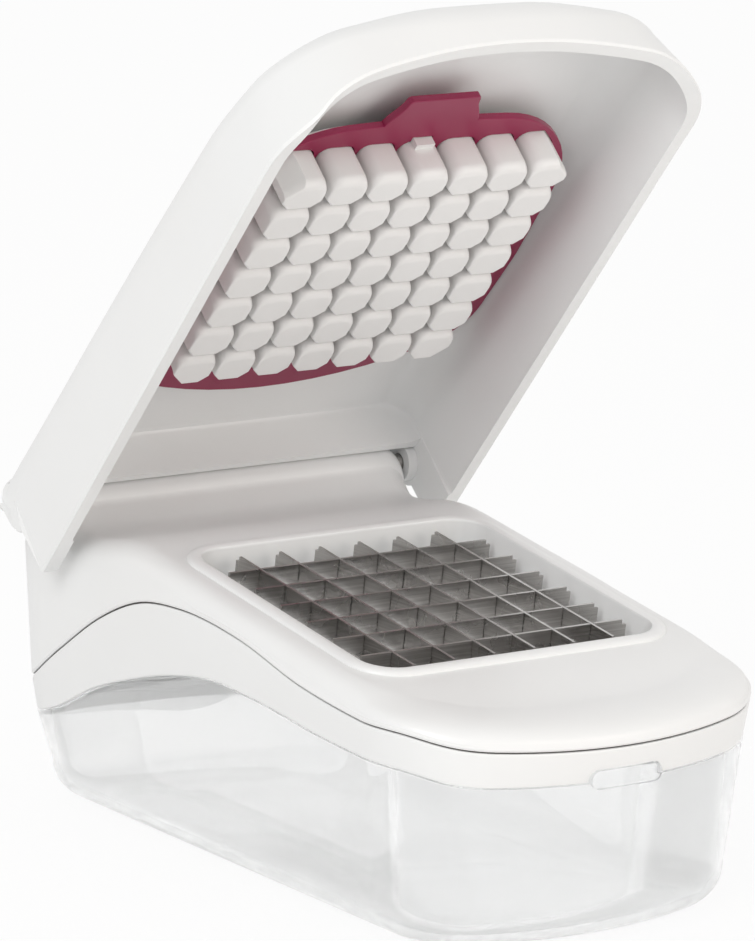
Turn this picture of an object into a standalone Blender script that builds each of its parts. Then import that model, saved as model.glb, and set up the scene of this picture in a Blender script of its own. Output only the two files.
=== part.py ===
"""Press-lid food chopper, lid held open: clear tub, white deck with blades, and a lid with pusher fingers."""

import math

import bmesh
import bpy
import numpy as np

# Units: every length below is in millimetres and becomes metres in MM.
MM = 0.001

# Plan outline at the seam between deck and collar. The front is at -Y and the hinge is at +Y.
HALF_WIDTH = 58.0
FRONT_Y = -110.5
BACK_Y = 107.7
FRONT_CORNER = 32.0
BACK_CORNER = 26.0
FRONT_BOW = 110.0
BACK_BOW = 400.0

# Side-view curves as (y, z) pairs: the seam line and the lower edge of the collar.
SEAM = ((-110.5, 52.8), (-100, 54.8), (-90, 57.2), (-72, 58.2), (-45, 61.2), (-16, 67.3), (13, 69.4),
        (33, 67.1), (53, 58.8), (74, 45.6), (88, 36.4), (98, 32.7), (110.5, 31.5))
COLLAR_FOOT = ((-110.5, 44.0), (-100, 45.2), (-90, 47.6), (-72, 48.6), (-54, 49.6), (-20, 52.7), (-1, 53.2),
               (18, 50.3), (38, 45.0), (59, 37.8), (77, 29.0), (88, 25.7), (98, 24.0), (110.5, 23.5))

# Deck plane: the blades' top edges lie in it, and it climbs from the first cross blade towards the hinge.
PITCH = 12.7
CELLS = 7
DECK_SLOPE = math.radians(8.43)
FIRST_BLADE_Y = -49.5
FIRST_BLADE_Z = 68.3
PLATEAU_RISE = 0.6

# Deck shell.
SEAM_GAP = 0.8
SEAL_INSET = 1.3
SEAL_DEPTH = 3.2
SEAL_CLEARANCE = 0.2
DECK_WALL = 2.6
SHOULDER_DROP = 6.0
REAR_FLARE = 5.1
SIDE_ROUND = 7.0
NOSE_ROUND = 18.0
NOSE_FROM_Y = -60.0
NOSE_TO_Y = -96.0
REAR_PROFILE = ((46, 81.4), (56, 79.8), (63, 79.0), (69, 79.6), (73, 82.0))
SHELF_Y = 90.0
SHELF_Z = 76.8
SHELF_END_Z = 74.8
VALLEY_Y = 63.0

# Opening in the deck and its raised lip.
OPENING_MARGIN = 1.1
OPENING_CORNER = 9.0
OPENING_BOW = 4000.0
LIP_WIDTH = 4.2
LIP_TOP = 1.9
LIP_ROUND = 1.1
SLEEVE_DEPTH = 13.0
OPENING_CUT = 0.6

# Blades and their carrier.
BLADE_COUNT = 6
BLADE_THICK = 0.8
BLADE_HEIGHT = 7.0
BLADE_END_GAP = 2.6
BLADE_FOOT_DROP = 2.6
END_NOTCH = 1.4
LAP_CLEARANCE = 0.2
CARRIER_TOP = -7.4
CARRIER_HEIGHT = 4.6
CARRIER_WIDTH = 5.0
CARRIER_CLEARANCE = 0.3

# Hinge: one axis for barrel, pins and lid.
HINGE_Y = 80.8
HINGE_Z = 85.1
BARREL_RADIUS = 5.5
LID_OPEN = math.radians(54.6)
PIN_RADIUS = 2.4
PIN_CLEARANCE = 0.25
PIN_INNER_X = 50.0
PIN_BORE_END = 1.0
PIN_LEAD = 18.6
HUB_RADIUS = 5.5
HUB_CLEARANCE = 0.6
HUB_INNER_X = HALF_WIDTH + HUB_CLEARANCE
EAR_RADIUS = 7.0
EAR_BACK = -2.5

# Lid shell in its own frame: reach is towards the nose, height is away from the deck.
LID_OVERHANG = 8.5
LID_HALF_WIDTH = HALF_WIDTH + LID_OVERHANG
LID_NOSE_OVERHANG = 1.5
LID_NOSE = HINGE_Y - FRONT_Y + LID_NOSE_OVERHANG
LID_TAIL = -17.0
LID_CORNER = 27.0
LID_TAIL_CORNER = 6.0
LID_TAIL_ROUND = 2.5
LID_BOW = 420.0
LID_RIM_WIDTH = 4.2
LID_WALL = 2.8
LID_TOP_LINE = ((-17, 15.5), (0, 16.1), (30, 17.0), (61, 18.1), (105, 19.1), (150, 19.5), (193, 19.5))
LID_SHOULDER = 12.0
LID_CORNER_EXTRA = 10.0
LID_CORNER_LEAN = 3.0
LID_SIDE_LEAN = 1.6
LID_RIM_LINE = ((155.0, -11.3), (8.0, -19.4))
LID_NOSE_ARCH = ((0, 0.7), (16.7, 0.0), (28.7, -1.4), (41.2, -3.4), (48, -4.9), (55.4, -7.6), (59, -10.0),
                 (66.5, -11.3))
LID_TAIL_UNDERSIDE = 6.6
LID_CAVITY_END = 8.5
LID_CAVITY_BOW = 4000.0
LID_CAVITY_CORNER = 6.7
LID_LIP_HEIGHT = 0.5
LID_LIP_THICK = 2.1
POCKET_SIDE_STEP = 0.8
POCKET_HALF_WIDTH = LID_HALF_WIDTH - LID_RIM_WIDTH - POCKET_SIDE_STEP
PIN_OUTER_X = LID_HALF_WIDTH - 2.1
CUTTER_DEPTH = 60.0

# Pusher plate, fingers and cleaning grid.
TIP_LEVEL = -2.5
FIRST_CELL_ALONG = (HINGE_Y - FIRST_BLADE_Y) * math.cos(DECK_SLOPE) + PITCH / 2
FIRST_CELL_BELOW = (HINGE_Z - FIRST_BLADE_Z) * math.sin(DECK_SLOPE)
FIRST_ROW_REACH = round(FIRST_CELL_ALONG + FIRST_CELL_BELOW, 1)
LAST_ROW_REACH = FIRST_ROW_REACH - (CELLS - 1) * PITCH
FINGER_SIZE = 11.0
FINGER_CHAMFER = 3.2
EDGE_FINGER_EXTRA = 1.15
EDGE_CHAMFER = 2.6
CORNER_CHAMFER = 6.5
FINGER_TIP_ROUND = 1.1
GRID_LEVEL = 8.7
GRID_THICK = 2.0
GRID_HOLE_CLEARANCE = 0.35
GRID_SIDE_ROOM = 2.3
GRID_HALF_WIDTH = LID_HALF_WIDTH - LID_RIM_WIDTH - GRID_SIDE_ROOM
GRID_TAPER = 0.0021
GRID_TAPER_FROM = FIRST_ROW_REACH - 52.7
GRID_TOP_REACH = FIRST_ROW_REACH + 12.2
GRID_LOW_REACH = LAST_ROW_REACH - 28.5
GRID_TOP_CORNER = 34.0
GRID_LOW_CORNER = 20.0
GRID_TOP_BOW = 440.0
GRID_LOW_BOW = 110.0
TAB_TOP_HALF = 9.5
TAB_FOOT_HALF = 15.5
TAB_CORNER = 3.0
TAB_LENGTH = 10.7
TAB_REACH = GRID_TOP_REACH + TAB_LENGTH
PLATE_LEVEL = 11.0
PLATE_THICK = 2.4
PLATE_INSET = 4.0

# Screws that hold the pusher plate to posts under the lid's ceiling.
SCREW_X = 49.5
SCREW_REACH = (LAST_ROW_REACH + 0.5, FIRST_ROW_REACH - 33.7)
SCREW_RADIUS = 1.5
SCREW_HEAD_RADIUS = 2.9
SCREW_HEAD_HEIGHT = 1.2
SCREW_LENGTH = 5.4
SCREW_CLEARANCE = 0.25
POST_RADIUS = 3.6

# Small catch on the pusher that holds the cleaning grid.
NUB_HALF_WIDTH = 2.9
NUB_PROUD = 1.6
NUB_HEIGHT = 2.4

# Tub.
TUB_DRAFT = 0.128
TUB_WALL = 2.2
TUB_FLOOR = 2.4
TUB_FOOT_ROUND = 11.0
TUB_FLUSH_INSET = 1.7
COLLAR_WALL = 2.3
TUB_RIM_ABOVE = 6.0
FIT_GAP = 0.3

# Catch on the tub's front, showing in a window of the collar's lower edge.
CATCH_HALF_WIDTH = 11.0
CATCH_HEIGHT = 4.8
CATCH_Z = 44.7
CATCH_PROUD = 0.6
CATCH_GAP = 0.35

# Segments along the bow and round the corner at each end of an outline, as (front, back) pairs.
BODY_STEPS = ((4, 7), (2, 6))
LID_STEPS = ((3, 8), (2, 3))
SMALL_STEPS = ((1, 5), (1, 5))
GRID_STEPS = ((2, 6), (3, 4))


def clear_scene():
    for obj in list(bpy.data.objects):
        bpy.data.objects.remove(obj, do_unlink=True)


def make_collection(name, hidden=False):
    collection = bpy.data.collections.new(name)
    bpy.context.scene.collection.children.link(collection)
    collection.hide_render = hidden
    return collection


def make_material(name, color, roughness, metallic=0.0, transmission=0.0):
    material = bpy.data.materials.new(name)
    material.use_nodes = True
    shader = material.node_tree.nodes["Principled BSDF"]
    shader.inputs["Base Color"].default_value = (*color, 1.0)
    shader.inputs["Roughness"].default_value = roughness
    shader.inputs["Metallic"].default_value = metallic
    shader.inputs["Transmission Weight"].default_value = transmission
    material.diffuse_color = (*color, 1.0)
    return material


def smooth_curve(points, at):
    """Cubic Hermite curve through (position, value) pairs."""
    xs = np.array([p[0] for p in points], float)
    ys = np.array([p[1] for p in points], float)
    slopes = np.gradient(ys, xs)
    at = np.clip(np.asarray(at, float), xs[0], xs[-1])
    index = np.clip(np.searchsorted(xs, at) - 1, 0, len(xs) - 2)
    span = xs[index + 1] - xs[index]
    t = (at - xs[index]) / span
    rise = ys[index + 1] - ys[index]
    return (ys[index] + rise * (3 * t**2 - 2 * t**3)
            + slopes[index] * span * (t - 2 * t**2 + t**3)
            + slopes[index + 1] * span * (t**3 - t**2))


def smooth_step(value, start, end):
    t = np.clip((np.asarray(value, float) - start) / (end - start), 0, 1)
    return t * t * (3 - 2 * t)


def end_arcs(half_width, tip, corner, bow, outward, steps):
    """(centre x, centre y, radius, direction x, direction y) for each point from the tip to the side."""
    blend = math.asin((half_width - corner) / (bow - corner))
    bow_centre = tip - outward * bow
    corner_y = bow_centre + outward * (bow - corner) * math.cos(blend)
    bow_steps, arc_steps = steps
    rows = []
    for step in range(bow_steps + 1):
        angle = blend * step / bow_steps
        rows.append((0.0, bow_centre, bow, math.sin(angle), outward * math.cos(angle)))
    for step in range(1, arc_steps + 1):
        angle = blend + (math.pi / 2 - blend) * step / arc_steps
        rows.append((half_width - corner, corner_y, corner, math.sin(angle), outward * math.cos(angle)))
    return np.array(rows)


class Outline:
    """Right half of a plan outline, front centre to back centre, that can be inset point by point."""

    def __init__(self, half_width, front, back, corners, bows, stations, steps):
        front_rows = end_arcs(half_width, front, corners[0], bows[0], -1, steps[0])
        back_rows = end_arcs(half_width, back, corners[1], bows[1], 1, steps[1])[::-1]
        first, last = front_rows[-1, 1], back_rows[0, 1]
        inner = [y for y in stations if first + 0.5 < y < last - 0.5]
        side = np.array([(half_width, y, 0.0, 1.0, 0.0) for y in inner]).reshape(-1, 5)
        self.rows = np.vstack([front_rows, side, back_rows])
        self.count = len(self.rows)
        self.half_width = half_width
        self.back_count = len(back_rows)

    def points(self, inset=0.0, back_inset=None):
        """Insets every point along its normal. A back inset draws in the back end and keeps its corners."""
        inset = np.broadcast_to(np.asarray(inset, float), (self.count,))
        reach = self.rows[:, 2] - inset
        x = self.rows[:, 0] + self.rows[:, 3] * reach
        y = self.rows[:, 1] + self.rows[:, 4] * reach
        if back_inset is not None:
            back = slice(self.count - self.back_count, self.count)
            rows = self.rows[back]
            x[back] = (rows[:, 0] + rows[:, 3] * rows[:, 2]) * (1 - inset[back] / self.half_width)
            y[back] = rows[:, 1] + rows[:, 4] * (rows[:, 2] - back_inset)
        x[0] = x[-1] = 0.0
        return np.c_[x, y]


def ring(outline, inset, height, back_inset=None):
    plan = outline.points(inset, back_inset)
    return np.c_[plan, np.broadcast_to(height, (outline.count,))]


def mesh_from_rings(name, rings, closed_loop=False, flat=False):
    """Skins rings of right-half points and their mirror images. Open stacks get laddered or flat caps."""
    mesh_builder = bmesh.new()
    sides = []
    for points in rings:
        right = [mesh_builder.verts.new(tuple(p * MM)) for p in points]
        left = [right[0]]
        left += [mesh_builder.verts.new((-p[0] * MM, p[1] * MM, p[2] * MM)) for p in points[1:-1]]
        left.append(right[-1])
        sides.append((right, left))
    pairs = list(zip(sides, sides[1:]))
    if closed_loop:
        pairs.append((sides[-1], sides[0]))
    for lower, upper in pairs:
        for below, above in zip(lower, upper):
            for i in range(len(below) - 1):
                mesh_builder.faces.new((below[i], below[i + 1], above[i + 1], above[i]))
    if not closed_loop:
        for right, left in (sides[0], sides[-1]):
            if flat:
                mesh_builder.faces.new(right + left[-2:0:-1])
                continue
            for i in range(len(right) - 1):
                corners = [right[i], right[i + 1], left[i + 1], left[i]]
                mesh_builder.faces.new(list(dict.fromkeys(corners)))
    bmesh.ops.recalc_face_normals(mesh_builder, faces=mesh_builder.faces)
    mesh = bpy.data.meshes.new(name)
    mesh_builder.to_mesh(mesh)
    mesh_builder.free()
    return mesh


def add_object(name, mesh, material, collection, parent=None, smooth_angle=35.0):
    obj = bpy.data.objects.new(name, mesh)
    collection.objects.link(obj)
    if material is not None:
        mesh.materials.append(material)
    if parent is not None:
        obj.parent = parent
    if smooth_angle:
        for polygon in mesh.polygons:
            polygon.use_smooth = True
        mesh.set_sharp_from_angle(angle=math.radians(smooth_angle))
    return obj


def add_cutter(name, mesh, collection, parent=None):
    cutter = add_object(name, mesh, None, collection, parent, smooth_angle=0)
    cutter.hide_render = True
    cutter.display_type = "WIRE"
    return cutter


def boolean(target, tool, operation="DIFFERENCE"):
    modifier = target.modifiers.new(f"{operation.lower()}_{tool.name}", "BOOLEAN")
    modifier.operation = operation
    modifier.solver = "EXACT"
    modifier.object = tool


def extruded(name, outline, axis, start, end):
    """Closed prism of a 2D outline. The axis letter names the direction it is extruded in."""
    place = {
        "x": lambda u, v, w: (w, u, v),
        "y": lambda u, v, w: (u, w, v),
        "z": lambda u, v, w: (u, v, w),
    }[axis]
    builder = bmesh.new()
    near = [builder.verts.new([c * MM for c in place(u, v, start)]) for u, v in outline]
    far = [builder.verts.new([c * MM for c in place(u, v, end)]) for u, v in outline]
    builder.faces.new(near)
    builder.faces.new(far[::-1])
    count = len(outline)
    for i in range(count):
        builder.faces.new((near[i], far[i], far[(i + 1) % count], near[(i + 1) % count]))
    bmesh.ops.recalc_face_normals(builder, faces=builder.faces)
    mesh = bpy.data.meshes.new(name)
    builder.to_mesh(mesh)
    builder.free()
    return mesh


def circle(radius, steps, centre=(0.0, 0.0)):
    angles = [2 * math.pi * i / steps for i in range(steps)]
    return [(centre[0] + radius * math.cos(a), centre[1] + radius * math.sin(a)) for a in angles]


def turned(name, profile, steps, centre):
    """Solid turned about a vertical line from (radius, height) pairs that start and end on it."""
    builder = bmesh.new()
    loops = []
    for radius, height in profile:
        if radius == 0.0:
            loops.append([builder.verts.new((centre[0] * MM, centre[1] * MM, height * MM))])
        else:
            plan = circle(radius, steps, centre)
            loops.append([builder.verts.new((u * MM, v * MM, height * MM)) for u, v in plan])
    for lower, upper in zip(loops, loops[1:]):
        for i in range(steps):
            j = (i + 1) % steps
            corners = [lower[k % len(lower)] for k in (i, j)] + [upper[k % len(upper)] for k in (j, i)]
            builder.faces.new(list(dict.fromkeys(corners)))
    bmesh.ops.recalc_face_normals(builder, faces=builder.faces)
    mesh = bpy.data.meshes.new(name)
    builder.to_mesh(mesh)
    builder.free()
    return mesh


def joined(name, meshes):
    """One mesh object data from several disjoint closed meshes."""
    builder = bmesh.new()
    for mesh in meshes:
        builder.from_mesh(mesh)
    result = bpy.data.meshes.new(name)
    builder.to_mesh(result)
    builder.free()
    return result


def deck_plane(y):
    return FIRST_BLADE_Z + (np.asarray(y, float) - FIRST_BLADE_Y) * math.tan(DECK_SLOPE)


def deck_top(y):
    """Height of the deck's upper surface: plateau, falling nose, valley, hinge barrel and rear shelf."""
    y = np.asarray(y, float)
    nose_drop = 1.7 * smooth_step(-y, -NOSE_FROM_Y + 6, -NOSE_TO_Y)
    plateau = deck_plane(y) + PLATEAU_RISE - nose_drop
    front_of_barrel = HINGE_Y - BARREL_RADIUS
    valley_points = ((30.0, float(deck_plane(30.0)) + PLATEAU_RISE), (38.0, float(deck_plane(38.0)) + 0.3),
                     *REAR_PROFILE, (front_of_barrel, HINGE_Z))
    valley = smooth_curve(valley_points, y)
    across = np.clip((y - HINGE_Y) / BARREL_RADIUS, -1, 1)
    barrel = HINGE_Z + BARREL_RADIUS * np.sqrt(1 - across**2)
    back_wall = HINGE_Z + (SHELF_Z - HINGE_Z) * smooth_step(y, HINGE_Y + BARREL_RADIUS, SHELF_Y)
    shelf = SHELF_Z + (SHELF_END_Z - SHELF_Z) * smooth_step(y, SHELF_Y, BACK_Y)
    height = np.where(y < 30.0, plateau, valley)
    height = np.where(y > front_of_barrel, barrel, height)
    height = np.where(y > HINGE_Y + BARREL_RADIUS, back_wall, height)
    return np.where(y > SHELF_Y, shelf, height)


def body_stations():
    """Side stations of the deck, dense where the barrel and valley bend."""
    plain = list(np.arange(-70, 31, 12.5))
    valley = [38, 47, 55, VALLEY_Y, 68, 72]
    barrel = [HINGE_Y - BARREL_RADIUS * math.cos(math.pi * i / 8) for i in range(9)]
    return sorted(plain + valley + barrel)


def hollow_stations():
    return [-70, -45, -20, 5, 30, 38, 47, 55, VALLEY_Y]


def wave_stations():
    return list(np.arange(-70, 84, 11.0))


def plan_outline(stations):
    return Outline(HALF_WIDTH, FRONT_Y, BACK_Y, (FRONT_CORNER, BACK_CORNER), (FRONT_BOW, BACK_BOW), stations,
                   BODY_STEPS)


def make_tub(material, collection, cutters):
    outline = plan_outline(wave_stations())
    edge_y = outline.points()[:, 1]
    flush = smooth_curve(COLLAR_FOOT, edge_y) - FIT_GAP
    reference = float(smooth_curve(COLLAR_FOOT, FRONT_Y))
    foot_inset = TUB_FLUSH_INSET + (reference - TUB_FOOT_ROUND) * TUB_DRAFT
    upper_inset = TUB_FLUSH_INSET + COLLAR_WALL + FIT_GAP
    rings = []
    steps = 3
    for step in range(steps + 1):
        angle = math.pi / 2 * step / steps
        inset = foot_inset + TUB_FOOT_ROUND * (1 - math.sin(angle))
        rings.append(ring(outline, inset, TUB_FOOT_ROUND * (1 - math.cos(angle))))
    rings.append(ring(outline, TUB_FLUSH_INSET, flush))
    rings.append(ring(outline, upper_inset, flush + 0.05))
    rings.append(ring(outline, upper_inset, flush + TUB_RIM_ABOVE))
    rings.append(ring(outline, upper_inset + TUB_WALL, flush + TUB_RIM_ABOVE))
    rings.append(ring(outline, upper_inset + TUB_WALL, flush - 2.0))
    inner_round = TUB_FOOT_ROUND - TUB_WALL
    steps = 2
    for step in range(steps + 1):
        angle = math.pi / 2 * (1 - step / steps)
        inset = foot_inset + TUB_WALL + inner_round * (1 - math.sin(angle))
        rings.append(ring(outline, inset, TUB_FLOOR + inner_round * (1 - math.cos(angle))))
    tub = add_object("tub", mesh_from_rings("tub", rings), material, collection)
    front = FRONT_Y + TUB_FLUSH_INSET - CATCH_PROUD
    catch = extruded("tub_catch", pill_outline(0.0), "y", front, FRONT_Y + upper_inset + TUB_WALL / 2)
    boolean(tub, add_cutter("tub_catch", catch, cutters), "UNION")
    return tub


def make_collar(material, collection, cutters):
    outline = plan_outline(wave_stations())
    edge_y = outline.points()[:, 1]
    seam = smooth_curve(SEAM, edge_y) - SEAM_GAP / 2
    foot = smooth_curve(COLLAR_FOOT, edge_y)
    ledge = TUB_FLUSH_INSET + COLLAR_WALL + 1.6
    rings = [
        ring(outline, TUB_FLUSH_INSET + 0.3, foot),
        ring(outline, TUB_FLUSH_INSET, foot + 0.4),
        ring(outline, 0.35, seam - 0.9),
        ring(outline, 0.7, seam),
        ring(outline, ledge, seam),
        ring(outline, ledge, np.minimum(seam - 0.8, foot + TUB_RIM_ABOVE + 0.9)),
        ring(outline, TUB_FLUSH_INSET + COLLAR_WALL, np.minimum(seam - 1.2, foot + TUB_RIM_ABOVE + 0.5)),
        ring(outline, TUB_FLUSH_INSET + COLLAR_WALL, foot),
    ]
    mesh = mesh_from_rings("collar", rings, closed_loop=True)
    collar = add_object("collar", mesh, material, collection)
    window = extruded("catch_window", pill_outline(CATCH_GAP), "y", FRONT_Y - 5, FRONT_Y + 12)
    boolean(collar, add_cutter("catch_window", window, cutters))
    return collar


def make_seal(material, collection):
    outline = plan_outline(wave_stations())
    seam = smooth_curve(SEAM, outline.points()[:, 1])
    low = seam - SEAM_GAP / 2 + SEAL_CLEARANCE
    high = seam + SEAM_GAP / 2 - SEAL_CLEARANCE
    section = ((SEAL_INSET, low), (SEAL_INSET, high), (SEAL_DEPTH, high), (SEAL_DEPTH, low))
    rings = [ring(outline, inset, height) for inset, height in section]
    mesh = mesh_from_rings("deck_seal", rings, closed_loop=True)
    return add_object("deck_seal", mesh, material, collection)


def hollow_top(y):
    """Ceiling under the deck: one wall below its surface, and straight under the solid hinge barrel."""
    y = np.asarray(y, float)
    behind = np.interp(y, (VALLEY_Y, SHELF_Y, BACK_Y), (float(deck_top(VALLEY_Y)), SHELF_Z, SHELF_END_Z))
    return np.where(y > VALLEY_Y, behind, deck_top(y)) - DECK_WALL


def deck_rings(outline, extra_inset, top_of, skirt, steps):
    """Stack of rings from the seam up over the shoulder to the plateau."""
    edge = outline.points()
    nose = smooth_step(-edge[:, 1], -NOSE_FROM_Y, -NOSE_TO_Y)
    spread = SIDE_ROUND + (NOSE_ROUND - SIDE_ROUND) * nose + extra_inset
    top = top_of(outline.points(spread)[:, 1])
    foot = smooth_curve(SEAM, edge[:, 1]) + SEAM_GAP / 2
    shoulder = np.maximum(top - SHOULDER_DROP, foot + 1.2)
    flare = REAR_FLARE * np.clip(outline.rows[:, 4], 0, 1)
    first = 0.9 + extra_inset - flare
    rings = [ring(outline, 0.5 + extra_inset, foot - skirt), ring(outline, 0.1 + extra_inset, foot + 0.5)]
    for step in range(steps + 1):
        angle = math.pi / 2 * step / steps
        inset = first + (spread - first) * (1 - math.cos(angle))
        rings.append(ring(outline, inset, shoulder + (top - shoulder) * math.sin(angle)))
    return rings


def opening_ring(grow, level):
    """Rounded-square ring in the deck plane's frame, right half only."""
    half = CELLS * PITCH / 2 + OPENING_MARGIN
    middle = (BLADE_COUNT - 1) * PITCH / 2
    outline = Outline(half + grow, middle - half - grow, middle + half + grow,
                      (OPENING_CORNER + grow, OPENING_CORNER + grow), (OPENING_BOW, OPENING_BOW),
                      (middle,), SMALL_STEPS)
    return ring(outline, 0.0, level)


def sleeve_rings():
    """Wall of the opening with its raised, rounded lip."""
    rings = [opening_ring(LIP_WIDTH, -SLEEVE_DEPTH), opening_ring(LIP_WIDTH, PLATEAU_RISE)]
    for step in range(1, 3):
        angle = math.pi / 2 * step / 2
        pull = LIP_WIDTH * 0.55 * (1 - math.cos(angle))
        rise = (LIP_TOP - PLATEAU_RISE) * math.sin(angle)
        rings.append(opening_ring(LIP_WIDTH - pull, PLATEAU_RISE + rise))
    rings.append(opening_ring(LIP_ROUND, LIP_TOP))
    rings.append(opening_ring(LIP_ROUND * 0.3, LIP_TOP - LIP_ROUND * 0.3))
    rings.append(opening_ring(0.0, LIP_TOP - LIP_ROUND))
    rings.append(opening_ring(0.0, -SLEEVE_DEPTH))
    return rings


def make_deck(material, collection, cutters, deck_frame):
    outline = plan_outline(body_stations())
    mesh = mesh_from_rings("deck", deck_rings(outline, 0.0, deck_top, 0.0, 5))
    deck = add_object("deck", mesh, material, collection)
    inside = deck_rings(plan_outline(hollow_stations()), DECK_WALL, hollow_top, 12.0, 3)
    hollow = mesh_from_rings("deck_hollow", inside)
    boolean(deck, add_cutter("deck_hollow", hollow, cutters))
    ends = [opening_ring(OPENING_CUT, -SLEEVE_DEPTH - 20), opening_ring(OPENING_CUT, 20.0)]
    opening = mesh_from_rings("deck_opening", ends)
    boolean(deck, add_cutter("deck_opening", opening, cutters, deck_frame))
    sleeve = mesh_from_rings("opening_sleeve", sleeve_rings(), closed_loop=True)
    boolean(deck, add_cutter("opening_sleeve", sleeve, cutters, deck_frame), "UNION")
    section = circle(PIN_RADIUS + PIN_CLEARANCE, 16, (HINGE_Y, HINGE_Z))
    inner, outer = PIN_INNER_X - PIN_BORE_END, PIN_OUTER_X + 2
    bores = [extruded("pin_bore", section, "x", side * inner, side * outer) for side in (-1, 1)]
    boolean(deck, add_cutter("pin_bore", joined("pin_bore", bores), cutters))
    return deck


def blade_outline(slots_below):
    """Side view of one blade: straight top edge, notched ends, feet in the carrier and half-lap slots."""
    half = CELLS * PITCH / 2
    end = half + OPENING_MARGIN - BLADE_END_GAP
    foot_start = half + OPENING_MARGIN - CARRIER_WIDTH + CARRIER_CLEARANCE
    low = -BLADE_HEIGHT
    foot_low = low - BLADE_FOOT_DROP
    slot = BLADE_THICK / 2 + LAP_CLEARANCE
    centres = [(i - (BLADE_COUNT - 1) / 2) * PITCH for i in range(BLADE_COUNT)]
    if slots_below:
        slot_end = low / 2 + LAP_CLEARANCE
        notch = ((-slot, low), (-slot, slot_end), (slot, slot_end), (slot, low))
        bottom = [(centre + side, z) for centre in centres for side, z in notch]
        top = []
    else:
        slot_end = low / 2 - LAP_CLEARANCE
        bottom = []
        notch = ((-slot, 0.0), (-slot, slot_end), (slot, slot_end), (slot, 0.0))
        top = [(centre + side, z) for centre in centres for side, z in notch]
    points = [(-end, foot_low), (-foot_start, foot_low), (-foot_start, low)]
    points += bottom
    points += [(foot_start, low), (foot_start, foot_low), (end, foot_low)]
    points += [(end, -END_NOTCH), (end - END_NOTCH, -END_NOTCH), (end - END_NOTCH, 0.0)]
    points += top[::-1]
    points += [(-end + END_NOTCH, 0.0), (-end + END_NOTCH, -END_NOTCH), (-end, -END_NOTCH)]
    return points


def make_blades(material, collection, deck_frame):
    middle = (BLADE_COUNT - 1) * PITCH / 2
    for i in range(BLADE_COUNT):
        place = (i - (BLADE_COUNT - 1) / 2) * PITCH
        start, end = place - BLADE_THICK / 2, place + BLADE_THICK / 2
        along = [(u + middle, v) for u, v in blade_outline(slots_below=True)]
        name = f"blade_long_{i + 1}"
        add_object(name, extruded(name, along, "x", start, end), material, collection, deck_frame, 0)
        name = f"blade_cross_{i + 1}"
        mesh = extruded(name, blade_outline(slots_below=False), "y", start + middle, end + middle)
        add_object(name, mesh, material, collection, deck_frame, 0)


def make_carrier(material, collection, cutters, deck_frame):
    outer = -CARRIER_CLEARANCE
    inner = -CARRIER_WIDTH
    low = CARRIER_TOP - CARRIER_HEIGHT
    rings = [opening_ring(outer, low), opening_ring(outer, CARRIER_TOP), opening_ring(inner, CARRIER_TOP),
             opening_ring(inner, low)]
    mesh = mesh_from_rings("blade_carrier", rings, closed_loop=True)
    carrier = add_object("blade_carrier", mesh, material, collection, deck_frame)
    middle = (BLADE_COUNT - 1) * PITCH / 2
    half = BLADE_THICK / 2 + LAP_CLEARANCE
    floor = -BLADE_HEIGHT - BLADE_FOOT_DROP - LAP_CLEARANCE
    reach = CELLS * PITCH / 2 + OPENING_MARGIN - BLADE_END_GAP + CARRIER_CLEARANCE
    for axis in ("x", "y"):
        boxes = []
        for i in range(BLADE_COUNT):
            centre = (i - (BLADE_COUNT - 1) / 2) * PITCH
            shift = 0.0 if axis == "x" else middle
            low_side, high_side = (middle - reach, middle + reach) if axis == "x" else (-reach, reach)
            box = [(low_side, floor), (high_side, floor), (high_side, 1.0), (low_side, 1.0)]
            boxes.append(extruded("slot", box, axis, centre + shift - half, centre + shift + half))
        slots = joined(f"carrier_slots_{axis}", boxes)
        cutter = add_cutter(f"carrier_slots_{axis}", slots, cutters, deck_frame)
        boolean(carrier, cutter)
    return carrier


def lid_outline(stations):
    corners = (LID_CORNER, LID_TAIL_CORNER)
    return Outline(LID_HALF_WIDTH, -LID_NOSE, -LID_TAIL, corners, (LID_BOW, LID_BOW), stations, LID_STEPS)


def lid_top(y):
    return smooth_curve(LID_TOP_LINE, -np.asarray(y, float))


def lid_stations():
    long_side = [-reach for reach in np.arange(158, 10, -18.0)]
    near_hinge = [-6.0, -2.0, 1.0, -EAR_BACK, 0.5 - EAR_BACK, 4.6, 6.2, EAR_RADIUS, EAR_RADIUS + 0.3]
    return sorted(long_side + near_hinge)


def lid_rim_level(points):
    """Height of the lid's rim: a slope on the sides, an arch across the nose and the ear by the hinge."""
    x, reach = points[:, 0], -points[:, 1]
    (far, far_level), (near, near_level) = LID_RIM_LINE
    line = near_level + (reach - near) * (far_level - near_level) / (far - near)
    arch = smooth_curve(LID_NOSE_ARCH, np.abs(x))
    nose = smooth_step(reach, far, LID_NOSE - 16)
    level = line * (1 - nose) + arch * nose
    ear = -np.sqrt(np.clip(EAR_RADIUS**2 - np.clip(-reach, 0, EAR_RADIUS) ** 2, 0, None))
    level = np.where(reach < EAR_BACK - 0.1, ear, level)
    return np.where(reach < -EAR_RADIUS - 0.1, LID_TAIL_UNDERSIDE - 0.5, level)


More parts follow.
